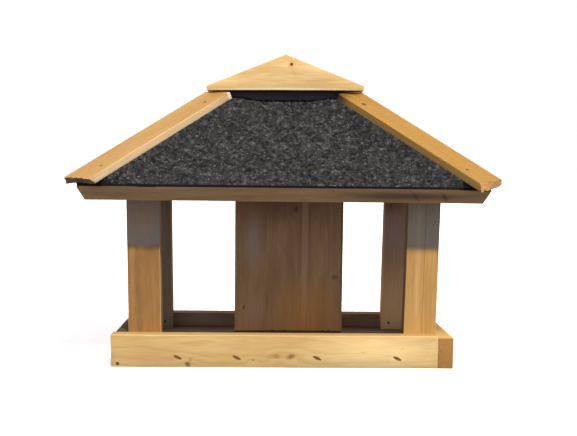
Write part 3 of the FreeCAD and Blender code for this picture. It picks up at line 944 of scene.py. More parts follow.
    @staticmethod
    def _outer_faces(solid: bmesh.types.BMesh) -> set[bmesh.types.BMFace]:
        """Find the faces that the whole board lies behind: all but the walls of driven holes.

        Args:
            solid: The board.

        Returns:
            The faces.
        """
        points = np.array([v.co for v in solid.verts])
        slack = 0.03 * MM
        outer = set()
        for side in solid.faces:
            ahead = (points - np.array(side.verts[0].co)) @ np.array(side.normal)
            if ahead.max() < slack:
                outer.add(side)
        return outer

    def _ease(self, solid: bmesh.types.BMesh, outer: set[bmesh.types.BMFace]) -> None:
        """Round the outer arrises a little, and crush the rims of the driven holes.

        Args:
            solid: The board.
            outer: Its outer faces.
        """
        worn = solid.faces.layers.float["arris"]
        sharp = math.radians(12.0)
        for side in solid.faces:
            side.material_index = Skin.WOOD if side in outer else Skin.BRUISE
        rims = [e for e in solid.edges if len(e.link_faces) == 2
                and sum(f in outer for f in e.link_faces) == 1 and e.is_convex]
        if rims and self.rim:
            bmesh.ops.bevel(solid, geom=rims, offset=self.rim * MM, segments=1,
                            affect="EDGES", clamp_overlap=False, material=Skin.BRUISE)
        solid.normal_update()
        edges = [e for e in solid.edges if len(e.link_faces) == 2
                 and all(f.material_index == Skin.WOOD for f in e.link_faces)
                 and e.calc_face_angle(0.0) > sharp]
        bmesh.ops.bevel(solid, geom=edges, offset=self.arris * MM, segments=2, profile=0.6,
                        affect="EDGES", clamp_overlap=True, material=Skin.ARRIS)
        for side in solid.faces:
            if side.material_index == Skin.ARRIS:
                side[worn] = 1.0
                side.material_index = Skin.WOOD

    def _slice(self, solid: bmesh.types.BMesh) -> None:
        """Cut the faces across at even steps, so that they can wander and the foot can tear.

        Args:
            solid: The board.
        """
        steps = (self.step, self.ragged_step, self.ragged_step) if self.ragged else (self.step,)
        for direction, (low, high), step in zip(self.axes, self.spans, steps):
            count = max(2, round((high - low) / (step * MM)))
            for i in range(1, count):
                there = direction * (low + (high - low) * i / count)
                bmesh.ops.bisect_plane(solid, geom=solid.verts[:] + solid.edges[:] + solid.faces[:],
                                       plane_co=there, plane_no=direction, dist=FLUSH)

    def _note_grain(self, solid: bmesh.types.BMesh) -> None:
        """Write down, at each corner, where it lies in the board and in the tree.

        Args:
            solid: The board, still in its packed place.
        """
        board = solid.verts.layers.float_vector["board"]
        grain = solid.verts.layers.float_vector["grain"]
        tone = solid.verts.layers.float["tone"]
        # Each board comes from a length of its own, so no two have the same grain.
        length = self.seed * 731.0
        for v in solid.verts:
            place = self.local(v.co)
            v[board] = place
            v[grain] = place + Vector((length, *self.pith))
            v[tone] = self.tone
        end = solid.faces.layers.float["end_grain"]
        solid.normal_update()
        for side in solid.faces:
            side[end] = 1.0 if abs(side.normal.dot(self.run)) > 0.75 else 0.0

    def _wander(self, solid: bmesh.types.BMesh) -> None:
        """Move the faces by a fraction of a millimetre, bend the board, and cut and tear its foot.

        Args:
            solid: The board.
        """
        own = Vector((self.seed * 1.7, self.seed * 0.9, self.seed * 2.3))
        sizes = [(high - low) / MM for low, high in self.spans]
        for v in solid.verts:
            along, across, deep = ((v.co.dot(d) - low) / MM
                                   for d, (low, _) in zip(self.axes, self.spans))
            t, u, w = along / sizes[0], across / sizes[1], deep / sizes[2]
            side = 2.0 * u - 1.0
            push = noise.noise_vector(v.co / (self.wave * MM) + own) * self.wander
            push += self.axes[1] * (self.widen[1] * u - self.widen[0] * (1.0 - u))
            push -= self.face * self.droop[side > 0.0] * side * side
            push += self.lean[0].lerp(self.lean[1], t)
            push += self.run * (self._foot_cut(along, u, w) + self._tear(along, across, deep))
            v.co += push * MM

    def _foot_cut(self, along: float, u: float, w: float) -> float:
        """Work out how far the skew cut of the foot pushes a point up the board.

        Args:
            along: The point's distance from the foot, in mm.
            u: Its share of the way across the board.
            w: Its share of the way from the underside to the face.

        Returns:
            The push, in mm.
        """
        one = self.foot[0] * (1.0 - w) + self.foot[1] * w
        other = self.foot[2] * (1.0 - w) + self.foot[3] * w
        return (one * (1.0 - u) + other * u) * max(0.0, 1.0 - along / self.foot_reach)

    def _tear(self, along: float, across: float, deep: float) -> float:
        """Work out how far a torn foot's fibres are broken off at a point.

        The tears are about 4 mm wide, with finer chips on them.

        Args:
            along: The point's distance from the foot, in mm.
            across: Its distance from one edge, in mm.
            deep: Its distance from the underside, in mm.

        Returns:
            The push up the board, in mm.
        """
        if not self.ragged or along > self.ragged_reach:
            return 0.0
        tooth = noise.noise(Vector((across / 3.6, deep / 5.0, self.seed + 0.4)))
        chip = noise.noise(Vector((across / 1.9, deep / 2.0, self.seed + 9.3)))
        tear = self.ragged * (abs(tooth) * 2.4 + 0.4 * chip)
        return tear * (1.0 - along / self.ragged_reach)


class Finishes:
    """The materials that several sub-assemblies share, each made once."""

    def __init__(self) -> None:
        """Make the shared materials."""
        self.bruise = BruisedSpruce().material()
        self.felt = MineralFelt().material()
        self.bitumen = CutBitumen().material()
        self.granules = SlateGranule().material()
        self.nail = WireSteel("nail steel, tarnished").material()
        self.staple = WireSteel("staple steel, rusted", clean="#96702a", tarnish="#6e4f18",
                                tarnish_from=0.12).material()


@dataclass
class SubAssembly:
    """A part of the table whose pieces are built and dressed together."""

    pieces: list[bpy.types.Object] = field(default_factory=list, init=False)

    def build(self, shared: Finishes) -> None:
        """Build and dress the pieces, and list them.

        Args:
            shared: The materials that several sub-assemblies share.
        """
        raise NotImplementedError


# Knots, stains, painted shade, painted shadows and painted highlights on single boards, where the
# photograph shows them. A later mark lies over an earlier one.

FRONT_RAIL_MARKS: tuple[Mark, ...] = (
    Mark((-127.4, -100, 4.0), 6.2, 5.2, "#6a4810", 0.9, 0.8, 40.0, MarkKind.PIN_KNOT),
    Mark((-123.8, -100, 10.5), 4.2, 4.0, "#a2742c", 0.6, 0.9, 20.0),
    Mark((-40.0, -100, 10.7), 3.2, 2.2, "#93682e", 0.75, 0.8, 0.0, MarkKind.PIN_KNOT),
    Mark((10.9, -100, 15.6), 9.5, 5.6, "#79511f", 0.9, 0.95, -18.0, MarkKind.PIN_KNOT),
    Mark((-8.5, -100, 15.6), 6.0, 4.4, "#8a6128", 0.75, 0.95, 0.0, MarkKind.PIN_KNOT),
    Mark((-10.0, -100, 16.0), 26.0, 4.6, "#a67b38", 0.7, 0.98),
    Mark((-55.0, -100, 15.8), 70.0, 4.2, "#cda750", 0.55, 0.95),
    Mark((-60.0, -100, 21.8), 62.0, 3.2, "#d8a77c", 0.5, 0.95),
    Mark((-60.0, -100, 3.2), 110.0, 2.6, "#cfa549", 0.5, 0.95),
    Mark((-175.0, -100, 16.0), 60.0, 22.0, "#c0935f", 0.6, 1.0),
    Mark((130.0, -100, 24.0), 130.0, 34.0, "#f3d58f", 0.9, 1.0),
    Mark((107.7, -100, 21.5), 5.0, 1.6, "#c08d4c", 0.45, 1.0),
    Mark((160.8, -100, 27.6), 3.2, 1.5, "#bd8b48", 0.5, 1.0),
    Mark((199.0, -100, 37.8), 2.0, 1.8, "#b58240", 0.55, 1.0),
    Mark((-181.9, -100, 32.2), 3.0, 1.5, "#bb8a4c", 0.4, 1.0),
    # Painted shade over the top face and its arris, so that the top is no brighter than the front.
    Mark((0.0, -88, 44.6), 600.0, 1.8, "#b09660", 0.85, 0.3, half_depth=12.5),
    *(Mark((x, -100, 13.5), 6.2, 2.9, "#654a12", 0.92, 0.5, 25.0) for x in (-141, -62, 46, 154)),
)
CAP_MARKS: tuple[Mark, ...] = (
    Mark((6.3, -21, 407.2), 5.0, 4.0, "#b98242", 0.6, 1.0),
    # A pale band along the lower edge: a painted highlight on the rounded arris.
    Mark((0.0, -21, 374.5), 112.0, 2.6, "#f8e2b0", 0.75, 0.6),
    # Painted shade: the cap's underside darkened.
    Mark((0.0, -2, 372.6), 150.0, 1.3, "#26170a", 0.98, 0.3, half_depth=48.0),
)
LEFT_RAIL_PAINTED_SHADOW: tuple[Mark, ...] = (
    # Painted shadow over the rail's top face, towards the front.
    Mark((-218, -60, 42), 90.0, 24.0, "#3b2717", 0.95, 0.3, half_depth=24.0),
)
RIGHT_RAIL_PAINTED_SHADE: tuple[Mark, ...] = (
    # Painted shade over the rail's top face.
    Mark((218, 10, 42), 110.0, 14.0, "#8b6a38", 0.9, 0.8, half_depth=24.0),
)
LEFT_POST_MARKS: tuple[Mark, ...] = (
    # The first two are painted shade: the upper part, in the eave's shadow, paler and greyer down to
    # the shadow line.
    Mark((-187, -79, 238), 75.0, 30.0, "#b8965f", 0.85, 0.9),
    Mark((-187, -79, 235), 77.0, 90.0, "#aa9271", 0.9, 0.08),
    Mark((-187, -79, 200), 45.0, 30.0, "#b98d52", 0.5, 1.0),
    Mark((-203, -79, 140), 150.0, 6.0, "#bf9058", 0.4, 0.9),
    Mark((-182, -79, 95), 30.0, 12.0, "#8f6232", 0.45, 1.0),
    Mark((-176, -79, 140), 22.0, 9.0, "#93683a", 0.4, 1.0),
    Mark((-195, -79, 120), 14.0, 8.0, "#966a3a", 0.35, 1.0),
)
RIGHT_POST_MARKS: tuple[Mark, ...] = (
    # Painted shade: the upper part greyed down to the eave's shadow line.
    Mark((187, -79, 235), 77.0, 90.0, "#ab966e", 0.9, 0.08),
    # Painted shade on the inner side face.
    Mark((165.2, -68.5, 140), 175.0, 1.4, "#774a18", 0.9, 0.3, half_depth=15.0),
    Mark((189.7, -79, 140), 170.0, 0.7, "#8d6230", 0.7, 0.6),
    Mark((181.0, -79, 140), 170.0, 6.0, "#e0b478", 0.3, 0.9),
)
REAR_POST_PAINTED_LIGHT: tuple[Mark, ...] = (
    # Painted shade: greyer in the middle.
    Mark((165, 68, 175), 60.0, 40.0, "#b59e86", 0.7, 0.9, half_depth=60.0),
    # Painted shade: darker at the top.
    Mark((165, 68, 228), 40.0, 40.0, "#5f3f1c", 0.8, 1.0, half_depth=60.0),
    # Painted bounce light from the tray: warm and pale at the foot.
    Mark((165, 68, 40), 115.0, 60.0, "#f2c47e", 0.95, 1.0, half_depth=80.0),
)
WALL_BLOTCHES_AND_PAINTED_LIGHT: tuple[Mark, ...] = (
    # Warmer and paler low down: partly the wood's own tone, partly painted bounce light from the tray.
    Mark((35.0, -10.5, 62.0), 70.0, 62.0, "#d08d3c", 0.7, 1.0),
    Mark((-40.0, -10.5, 60.0), 45.0, 24.0, "#c79b70", 0.4, 1.0),
    # Painted shade: darker towards the top, under the roof.
    Mark((0.0, -10.5, 228.0), 60.0, 130.0, "#7a4c20", 0.75, 1.0),
    Mark((-42.0, -10.5, 165.0), 55.0, 20.0, "#b3a087", 0.45, 1.0),
    # Painted shadow along the foot, where the wall meets the rail.
    Mark((8.0, -10.5, 31.6), 3.4, 160.0, "#1c0f06", 0.85, 0.5),
)
WALL_MARKS: tuple[tuple[Mark, ...], ...] = (
    (Mark((-54.0, -10.5, 67.8), 4.5, 1.8, "#4a2e18", 0.75, 0.8, 12.0),),
    (
        Mark((-15.0, -10.5, 190), 170.0, 0.8, "#7c5732", 0.5, 0.8),
        Mark((19.0, -10.5, 209.0), 7.0, 9.0, "#6b2f22", 0.6, 0.9, 0.0, MarkKind.KNOT),
        # Small painted shadows at the foot.
        Mark((-13.0, -10.5, 34.0), 1.2, 4.0, "#2c180c", 0.85, 0.5),
        Mark((4.0, -10.5, 34.0), 1.0, 3.6, "#2c180c", 0.8, 0.5),
    ),
    (
        Mark((31.5, -10.5, 190), 190.0, 6.0, "#c9a06c", 0.45, 0.6),
        Mark((25.3, -10.5, 190), 190.0, 0.7, "#7a5530", 0.5, 0.7),
        Mark((38.3, -10.5, 190), 190.0, 0.7, "#7a5530", 0.5, 0.7),
        # A small painted shadow at the foot.
        Mark((59.0, -10.5, 34.0), 1.1, 3.4, "#2c180c", 0.8, 0.5),
    ),
    (
        Mark((74.5, -10.5, 112.0), 4.0, 7.0, "#5d3d20", 0.6, 0.8, 0.0, MarkKind.KNOT),
        Mark((69.0, -10.5, 190), 190.0, 1.6, "#c29a66", 0.35, 0.8),
        # A small painted shadow at the foot.
        Mark((68.0, -10.5, 34.0), 1.0, 2.6, "#2c180c", 0.8, 0.5),
        Mark((82.9, -10.5, 190), 190.0, 1.5, "#5a3c20", 0.6, 0.7),
    ),
)
EAVE_MARKS: tuple[Mark, ...] = (
    Mark((160.0, -132, 232), 140.0, 30.0, "#5d4024", 0.8, 1.0),
    Mark((205.0, -131, 232), 16.0, 2.2, "#4f361d", 0.6, 0.9, 28.0),
    Mark((168.0, -131, 232), 14.0, 2.0, "#4f361d", 0.5, 0.9, 24.0),
)


@dataclass
class Tray(SubAssembly):
    """The feeding tray: four rails on edge round four floor boards."""

    arris: float = 0.8
    rim: float = 0.7
    floor_tones: tuple[float, ...] = (-0.6, 0.5, -0.2, 0.8)
    wood: StainedSpruce = StainedSpruce("spruce, honey stain, rails", early="#d2b26d", late="#bb8d4a",
                                        end="#a57a3b")

    def build(self, shared: Finishes) -> None:
        """Build and dress the rails and the floor.

        Args:
            shared: The materials that several sub-assemblies share.
        """
        front = replace(self.wood, name="spruce, honey stain, front rail", early="#cbae6e",
                        late="#b48b4a", deep="#bb9556", late_strength=0.42, ring=2.6,
                        marks=FRONT_RAIL_MARKS)
        left = replace(self.wood, name="spruce, honey stain, left rail", marks=LEFT_RAIL_PAINTED_SHADOW)
        # The floor and the rear rail are darker and greyer than the other rails: painted shade.
        floor = replace(self.wood, name="spruce, weathered, floor", early="#7f6546",
                        late="#6b5133", deep="#614a30").material()
        rear = replace(self.wood, name="spruce, weathered, rear rail", early="#a0835f",
                       late="#876843", deep="#7d6141").material()
        right = replace(self.wood, name="spruce, honey stain, right rail", marks=RIGHT_RAIL_PAINTED_SHADE)
        rails = (
            (Board("tray_front_rail", X_AXIS, -Y_AXIS, "front_rail", seed=3, pith=(6.0, 46.0)), front),
            (Board("tray_rear_rail", X_AXIS, Y_AXIS, "rear_rail", seed=5, pith=(-14.0, 60.0)), rear),
            (Board("tray_left_rail", Y_AXIS, -X_AXIS, "left_rail", seed=7), left),
            (Board("tray_right_rail", Y_AXIS, X_AXIS, "right_rail", seed=11, pith=(26.0, 40.0)), right),
        )
        for rail, wood in rails:
            rail.arris = self.arris
            rail.rim = self.rim
            self.pieces.append(rail.build(wood, shared.bruise))
        for i, tone in enumerate(self.floor_tones, start=1):
            board = Board(f"floor_board_{i}", X_AXIS, Z_AXIS, seed=20 + i, tone=tone,
                          pith=(12.0 * i - 30.0, 45.0))
            self.pieces.append(board.build(floor, shared.bruise))


@dataclass
class Posts(SubAssembly):
    """Four upright posts of the tray rail's lath, one inside each corner of the tray."""

    arris: float = 0.8
    splay: float = 2.7
    front_rim: float = 0.35
    rear_rim: float = 0.05
    wood: StainedSpruce = StainedSpruce("spruce, honey stain, posts", early="#bd945c", late="#a27846",
                                        deep="#96703f", late_strength=0.3, blotch_strength=0.5)

    def build(self, shared: Finishes) -> None:
        """Build and dress the posts.

        Args:
            shared: The materials that several sub-assemblies share.
        """
        finishes = {
            "front_left": replace(self.wood, name="spruce, honey stain, left post", early="#96703a",
                                  late="#815d2e", deep="#79572a", late_strength=0.2,
                                  blotch_strength=0.8, marks=LEFT_POST_MARKS),
            "front_right": replace(self.wood, name="spruce, honey stain, right post", early="#ba9350",
                                   late="#a1783d", deep="#a68042", marks=RIGHT_POST_MARKS),
            "rear_left": replace(self.wood, name="spruce, honey stain, rear left post",
                                 early="#937e58", late="#7e6643", deep="#755f3c"),
            "rear_right": replace(self.wood, name="spruce, honey stain, rear right post",
                                  marks=REAR_POST_PAINTED_LIGHT),
        }
        for seed, (corner, finish) in enumerate(finishes.items()):
            outwards = -Y_AXIS if "front" in corner else Y_AXIS
            splay = X_AXIS * (-self.splay if "left" in corner else self.splay)
            post = Board(f"post_{corner}", Z_AXIS, outwards, arris=self.arris, seed=31 + seed,
                         pith=(16.0 + 7.0 * seed, 36.0 + 5.0 * seed), lean=(Vector(), splay),
                         rim=self.front_rim if "front" in corner else self.rear_rim)
            self.pieces.append(post.build(finish, shared.bruise))


@dataclass
class CentreWall(SubAssembly):
    """Four upright boards side by side that carry the ridge."""

    arris: float = 0.15
    wood: StainedSpruce = StainedSpruce("spruce, honey stain, wall board", early="#b68c51",
                                        late="#9f743c", deep="#966b36", end="#8a6138",
                                        late_strength=0.3, blotch_strength=0.6, worn=0.0)
    tones: tuple[float, ...] = (0.0, -0.2, 0.3, -0.4)
    proud: float = 1.2
    wander: float = 0.08

    def build(self, shared: Finishes) -> None:
        """Build and dress the boards.

        Args:
            shared: The materials that several sub-assemblies share.
        """
        for i, (tone, marks) in enumerate(zip(self.tones, WALL_MARKS), start=1):
            outer = (self.proud if i == 1 else 0.0, self.proud if i == len(self.tones) else 0.0)
            board = Board(f"wall_board_{i}", Z_AXIS, -Y_AXIS, arris=self.arris, wander=self.wander,
                          seed=40 + i, pith=(9.0 * i - 22.0, 40.0 + 6.0 * i), tone=tone, widen=outer)
            finish = replace(self.wood, name=f"{self.wood.name} {i}", marks=WALL_BLOTCHES_AND_PAINTED_LIGHT + marks)
            self.pieces.append(board.build(finish, shared.bruise))


@dataclass(frozen=True)
class Slope:
    """One side of the hipped roof, as felt lies on it, in millimetres."""

    name: str
    eave_left: Vector
    eave_right: Vector
    ridge_right: Vector
    ridge_left: Vector
    thick: float


@dataclass
class Felt:
    """A sheet of mineral felt laid on one slope, with chips standing on it. In millimetres.

    Attributes:
        slope: The slope that it lies on.
        weave: The distance between the points of its net.
        swell: How far its upper side swells and roughens.
        waves: The lengths of its slow swell and of its roughness.
        hip_half: Half a hip board's width, under which the felt is dressed up.
        cove: How far from the board it comes down again.
        sink: How far it falls away from the board's underside at the board's edge.
        clear: How far it stays below that underside everywhere.
        drip: How far its cut edge at the eave leans outwards and hangs down.
        chips_per_mm2: Chips on each square millimetre.
        chip: A chip's least and greatest half length.
        seat: How far a chip's rim is pressed in.
        seed: What sets its own pattern apart.
        out: The slope's outward direction.
        tilt: The angle between the slope and the hip boards' undersides.
    """

    slope: Slope
    weave: float = 2.8
    swell: float = 0.3
    waves: tuple[float, float] = (26.0, 3.4)
    hip_half: float = 23.5
    cove: float = 34.0
    sink: float = 0.0
    clear: float = 0.9
    drip: tuple[float, float] = (-0.8, 0.3)
    chips_per_mm2: float = 1.0 / 45.0
    chip: tuple[float, float] = (0.9, 2.6)
    seat: float = 0.15
    seed: int = 0
    out: Vector = field(init=False)
    tilt: float = field(init=False)

    def __post_init__(self) -> None:
        """Work out the slope's outward direction, and its tilt from the hip boards' undersides."""
        s = self.slope
        self.out = unit((s.eave_right - s.eave_left).cross(s.ridge_left - s.eave_left))
        hip = hip_face("hip_board_front_left")
        self.tilt = math.acos(sum(abs(a * b) for a, b in zip(hip, self.out)))

    def build(self, shared: Finishes) -> list[bpy.types.Object]:
        """Lay the sheet and stand its chips on it.

        Args:
            shared: The materials that several sub-assemblies share.

        Returns:
            The sheet and its chips.
        """
        name = f"felt_{self.slope.name}"
        node = f"roof_{name}"
        sheet = hang(self._sheet(), name, node, [shared.felt, shared.bitumen])
        chips = bpy.data.objects.new(f"{name}_granules", self._chips())
        chips.data.materials.append(shared.granules)
        bpy.context.scene.collection.objects.link(chips)
        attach(chips, "root")
        log.info("%s: %d faces", chips.name, len(chips.data.polygons))
        return [sheet, chips]

    def _height(self) -> float:
        """Measure the slope from its eave to its ridge."""
        s = self.slope
        return ((s.ridge_left + s.ridge_right) / 2 - (s.eave_left + s.eave_right) / 2).length

    def _point(self, along: float, up: float) -> Vector:
        """Find a point on the sheet's upper side, with its swell and its roughness.

        Args:
            along: Share of the way from the left end to the right end.
            up: Share of the way from the eave to the ridge.

        Returns:
            The point, in millimetres.
        """
        s = self.slope
        left = s.eave_left.lerp(s.ridge_left, up)
        right = s.eave_right.lerp(s.ridge_right, up)
        flat = left.lerp(right, along)
        slow = noise.noise(flat / self.waves[0] + Vector((self.seed, 3.1, 0.0)))
        fast = noise.noise(flat / self.waves[1] + Vector((0.0, self.seed, 7.7)))
        # Over the outermost fortieth it dies away, so that the sheet's edges stay straight.
        rim = min(along, 1.0 - along, up, 1.0 - up) * 40.0
        rough = (slow * 0.6 + fast * 0.4) * self.swell * min(1.0, rim)
        return flat + self.out * (rough + self._dressed(flat, up))

    def _dressed(self, flat: Vector, up: float) -> float:
        """Work out how far the felt rises where it is dressed up to the hip boards' undersides.

        Args:
            flat: A point on the plain slope.
            up: Share of the way from the eave to the ridge.

        Returns:
            The rise above the plain slope, in millimetres.
        """
        s = self.slope
        hips = ((s.eave_left, s.ridge_left), (s.eave_right, s.ridge_right))
        away = min((flat - foot).cross(unit(top - foot)).length for foot, top in hips)
        edge = self.hip_half * math.cos(self.tilt)
        near = min(1.0, away / edge)
        lift = max(0.0, edge * near * math.tan(self.tilt) - self.sink * near * near - self.clear)
        share = min(1.0, max(0.0, away - edge) / self.cove)
        # It lies flat along the eave, and nearly so along the ridge.
        fade = min(1.0, up / 0.03) * min(1.0, (1.0 - up) / 0.12 + 0.2)
        return lift * (1.0 - share * share * (3.0 - 2.0 * share)) * fade

    def _sheet(self) -> bpy.types.Mesh:
        """Net the sheet: fine on top, with cut edges all round and a plain underside.

        Returns:
            The sheet, with the felt as its first material and the cut edge as its second.
        """
        s = self.slope
        rows = round(self._height() / self.weave)
        columns = round((s.eave_right - s.eave_left).length / self.weave)
        row = columns + 1
        points = [self._point(i / columns, j / rows) for j in range(rows + 1) for i in range(row)]
        faces = [(j * row + i, j * row + i + 1, (j + 1) * row + i + 1, (j + 1) * row + i)
                 for j in range(rows) for i in range(columns)]
        # The rim goes round from the left end of the eave.
        rim = list(range(row))
        rim += [j * row + columns for j in range(1, rows + 1)]
        rim += [rows * row + i for i in range(columns - 1, -1, -1)]
        rim += [j * row for j in range(rows - 1, 0, -1)]
        count = len(rim)
        level_out = unit(Vector((self.out.x, self.out.y, 0.0)))
        over = level_out * self.drip[0] - Vector((0.0, 0.0, self.drip[1]))
        down = Vector((0.0, 0.0, s.thick))
        first = len(points)
        points += [points[i] - down + (over if i <= columns else Vector()) for i in rim]
        faces += [(rim[k], first + k, first + (k + 1) % count, rim[(k + 1) % count])
                  for k in range(count)]
        # The underside lies a hair lower, so that the cut edge has a corner of its own there.
        inner = first + count
        points += [points[i] - down * 1.02 for i in rim]
        faces += [(first + k, inner + k, inner + (k + 1) % count, first + (k + 1) % count)
                  for k in range(count)]
        faces.append(tuple(inner + k for k in reversed(range(count))))
        mesh = bpy.data.meshes.new(f"felt_{s.name}")
        mesh.from_pydata([p * MM for p in points], [], faces)
        mesh.polygons.foreach_set("material_index", [0] * (rows * columns) + [1] * (2 * count + 1))
        smooth(mesh, angle_deg=40.0)
        return mesh

    def _chips(self) -> bpy.types.Mesh:
        """Scatter slate chips: low four-sided splinters that lie at random on the sheet.

        Returns:
            The chips, each with a tone of its own.
        """
        rng = np.random.default_rng(self.seed + 500)
        s = self.slope
        base = (s.eave_right - s.eave_left).length
        top = (s.ridge_right - s.ridge_left).length
        count = int((base + top) / 2 * self._height() * self.chips_per_mm2)
        normal = self.out
        level = unit(s.eave_right - s.eave_left)
        rise = normal.cross(level)
        # A chip has four corners at its foot and two at its crest, and six three-cornered faces.
        splinter = ((0, 1, 4), (1, 5, 4), (1, 2, 5), (2, 3, 5), (3, 4, 5), (3, 0, 4))
        points, faces, tones = [], [], []
        while len(tones) < count:
            up = rng.random()
            if rng.random() * base > base + (top - base) * up:
                continue
            seat = self._point(0.004 + 0.992 * rng.random(), 0.004 + 0.992 * up)
            angle = rng.random() * math.tau
            ahead = level * math.cos(angle) + rise * math.sin(angle)
            aside = normal.cross(ahead)
            long_half = rng.uniform(*self.chip)
            wide_half = long_half * rng.uniform(0.3, 0.6)
            tall = wide_half * rng.uniform(0.5, 1.1)
            crest = seat + normal * tall + aside * wide_half * rng.uniform(-0.4, 0.4)
            start = len(points)
            faces += [tuple(start + corner for corner in face) for face in splinter]
            points += [seat + ahead * long_half, seat + aside * wide_half,
                       seat - ahead * long_half, seat - aside * wide_half,
                       crest + ahead * long_half * 0.45, crest - ahead * long_half * 0.45]
            tones.append(rng.random())
        mesh = bpy.data.meshes.new(f"felt_{s.name}_granules")
        mesh.from_pydata([(p - normal * self.seat) * MM for p in points], [], faces)
        layer = mesh.attributes.new("tone", "FLOAT", "POINT")
        corners = len(points) // count
        layer.data.foreach_set("value", [tones[i // corners] for i in range(len(points))])
        return mesh


@dataclass
class Roof(SubAssembly):
    """Two boards and a sheet of felt on each slope, and the batten on the ridge.

    On the long slopes the felt sinks a little below the hip boards' edges.
    """

    arris: float = 0.4
    sink: float = 1.7
    wood: StainedSpruce = StainedSpruce("spruce, honey stain, roof boards", early="#c79351",
                                        late="#a9783e", deep="#9f6f39", end="#775431",
                                        late_strength=0.35, worn=0.0)

    def build(self, shared: Finishes) -> None:
        """Build and dress the boards, the batten and the felt.

        Args:
            shared: The materials that several sub-assemblies share.
        """
        plain = self.wood.material()
        eave = replace(self.wood, name="spruce, honey stain, front eave", marks=EAVE_MARKS)
        # The batten is darkened as painted shade under the cap.
        batten = replace(self.wood, name="spruce, dark stain, ridge batten", early="#4e3c2a",
                         late="#3f2f20", deep="#38291b", end="#3a2b1d").material()
        runs = {"front": X_AXIS, "rear": X_AXIS, "left": Y_AXIS, "right": Y_AXIS}
        for seed, (side, run) in enumerate(runs.items()):
            for level in ("lower", "upper"):
                node = f"roof_board_{side}_{level}"
                board = Board(node, run, self._outward(side), f"{node}_cut", arris=self.arris,
                              seed=60 + 2 * seed + (level == "upper"), pith=(20.0 - 9.0 * seed, 44.0))
                finish = eave if node == "roof_board_front_lower" else plain
                self.pieces.append(board.build(finish, shared.bruise))
        ridge = Board("ridge_batten", X_AXIS, Z_AXIS, lean=CAP_LIFT, seed=77)
        self.pieces.append(ridge.build(batten, shared.bruise))
        for seed, slope in enumerate(self.slopes()):
            sink = self.sink if slope.name in ("front", "rear") else 0.0
            self.pieces += Felt(slope, sink=sink, seed=90 + seed).build(shared)

    @staticmethod
    def _outward(side: str) -> Vector:
        """Find the outward direction of one slope from its packed felt.

        Args:
            side: The slope's name.

        Returns:
            The direction.
        """
        low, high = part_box(f"roof_felt_{side}")
        rise = (high - low).z
        if side in ("front", "rear"):
            return unit(Vector((0.0, -rise if side == "front" else rise, (high - low).y)))
        return unit(Vector((-rise if side == "left" else rise, 0.0, (high - low).x)))

    @staticmethod
    def slopes() -> list[Slope]:
        """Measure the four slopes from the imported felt.

        Returns:
            Front, rear, left and right.
        """
        front_low, front_high = (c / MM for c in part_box("roof_felt_front"))
        left_low, left_high = (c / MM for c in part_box("roof_felt_left"))
        half_long, half_deep = front_high.x, -front_low.y
        ridge = -left_high.x
        top = front_high.z
        eave = top - half_deep * Roof._rise_rate()
        thick = eave - front_low.z
        corners = {
            "front": ((-half_long, -half_deep), (half_long, -half_deep), (ridge, 0.0), (-ridge, 0.0)),
            "rear": ((half_long, half_deep), (-half_long, half_deep), (-ridge, 0.0), (ridge, 0.0)),
            "left": ((-half_long, half_deep), (-half_long, -half_deep), (-ridge, 0.0), (-ridge, 0.0)),
            "right": ((half_long, -half_deep), (half_long, half_deep), (ridge, 0.0), (ridge, 0.0)),
        }
        return [Slope(name, Vector((*a, eave)), Vector((*b, eave)), Vector((*c, top)),
                      Vector((*d, top)), thick)
                for name, (a, b, c, d) in corners.items()]

    @staticmethod
    def _rise_rate() -> float:
        """Find how far the long slopes rise for each millimetre towards the ridge.

        Returns:
            The rise, measured on the lower front board's upper face.
        """
        face = max(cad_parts["roof_board_front_lower"].data.polygons,
                   key=lambda p: p.area * max(0.0, p.normal.z) * max(0.0, -p.normal.y))
        return -face.normal.y / face.normal.z


@dataclass(frozen=True)
class HipSide:
    """What the hip boards at one end of the table have of their own. Sizes are in millimetres.

    Each board has an edge towards the table's end and one towards its front or rear.

    Attributes:
        wood: Their finish.
        sawn: The colour of the line painted along the edge towards the front or rear: a painted
            highlight on the left, painted shade on the right.
        rust: How strongly the nails stain them.
        cut: How far their feet are cut back, at two corners of the end's edge, then of the other.
        ragged: How deep their feet are torn.
        droop: How far the end's edge and the other one sink.
        tip: The mark on the front board's upper tip: a pale patch on the left, the cap's painted shadow
            on the right.
    """

    wood: StainedSpruce
    sawn: str
    rust: float
    cut: tuple[float, ...]
    ragged: float
    droop: tuple[float, float]
    tip: Mark


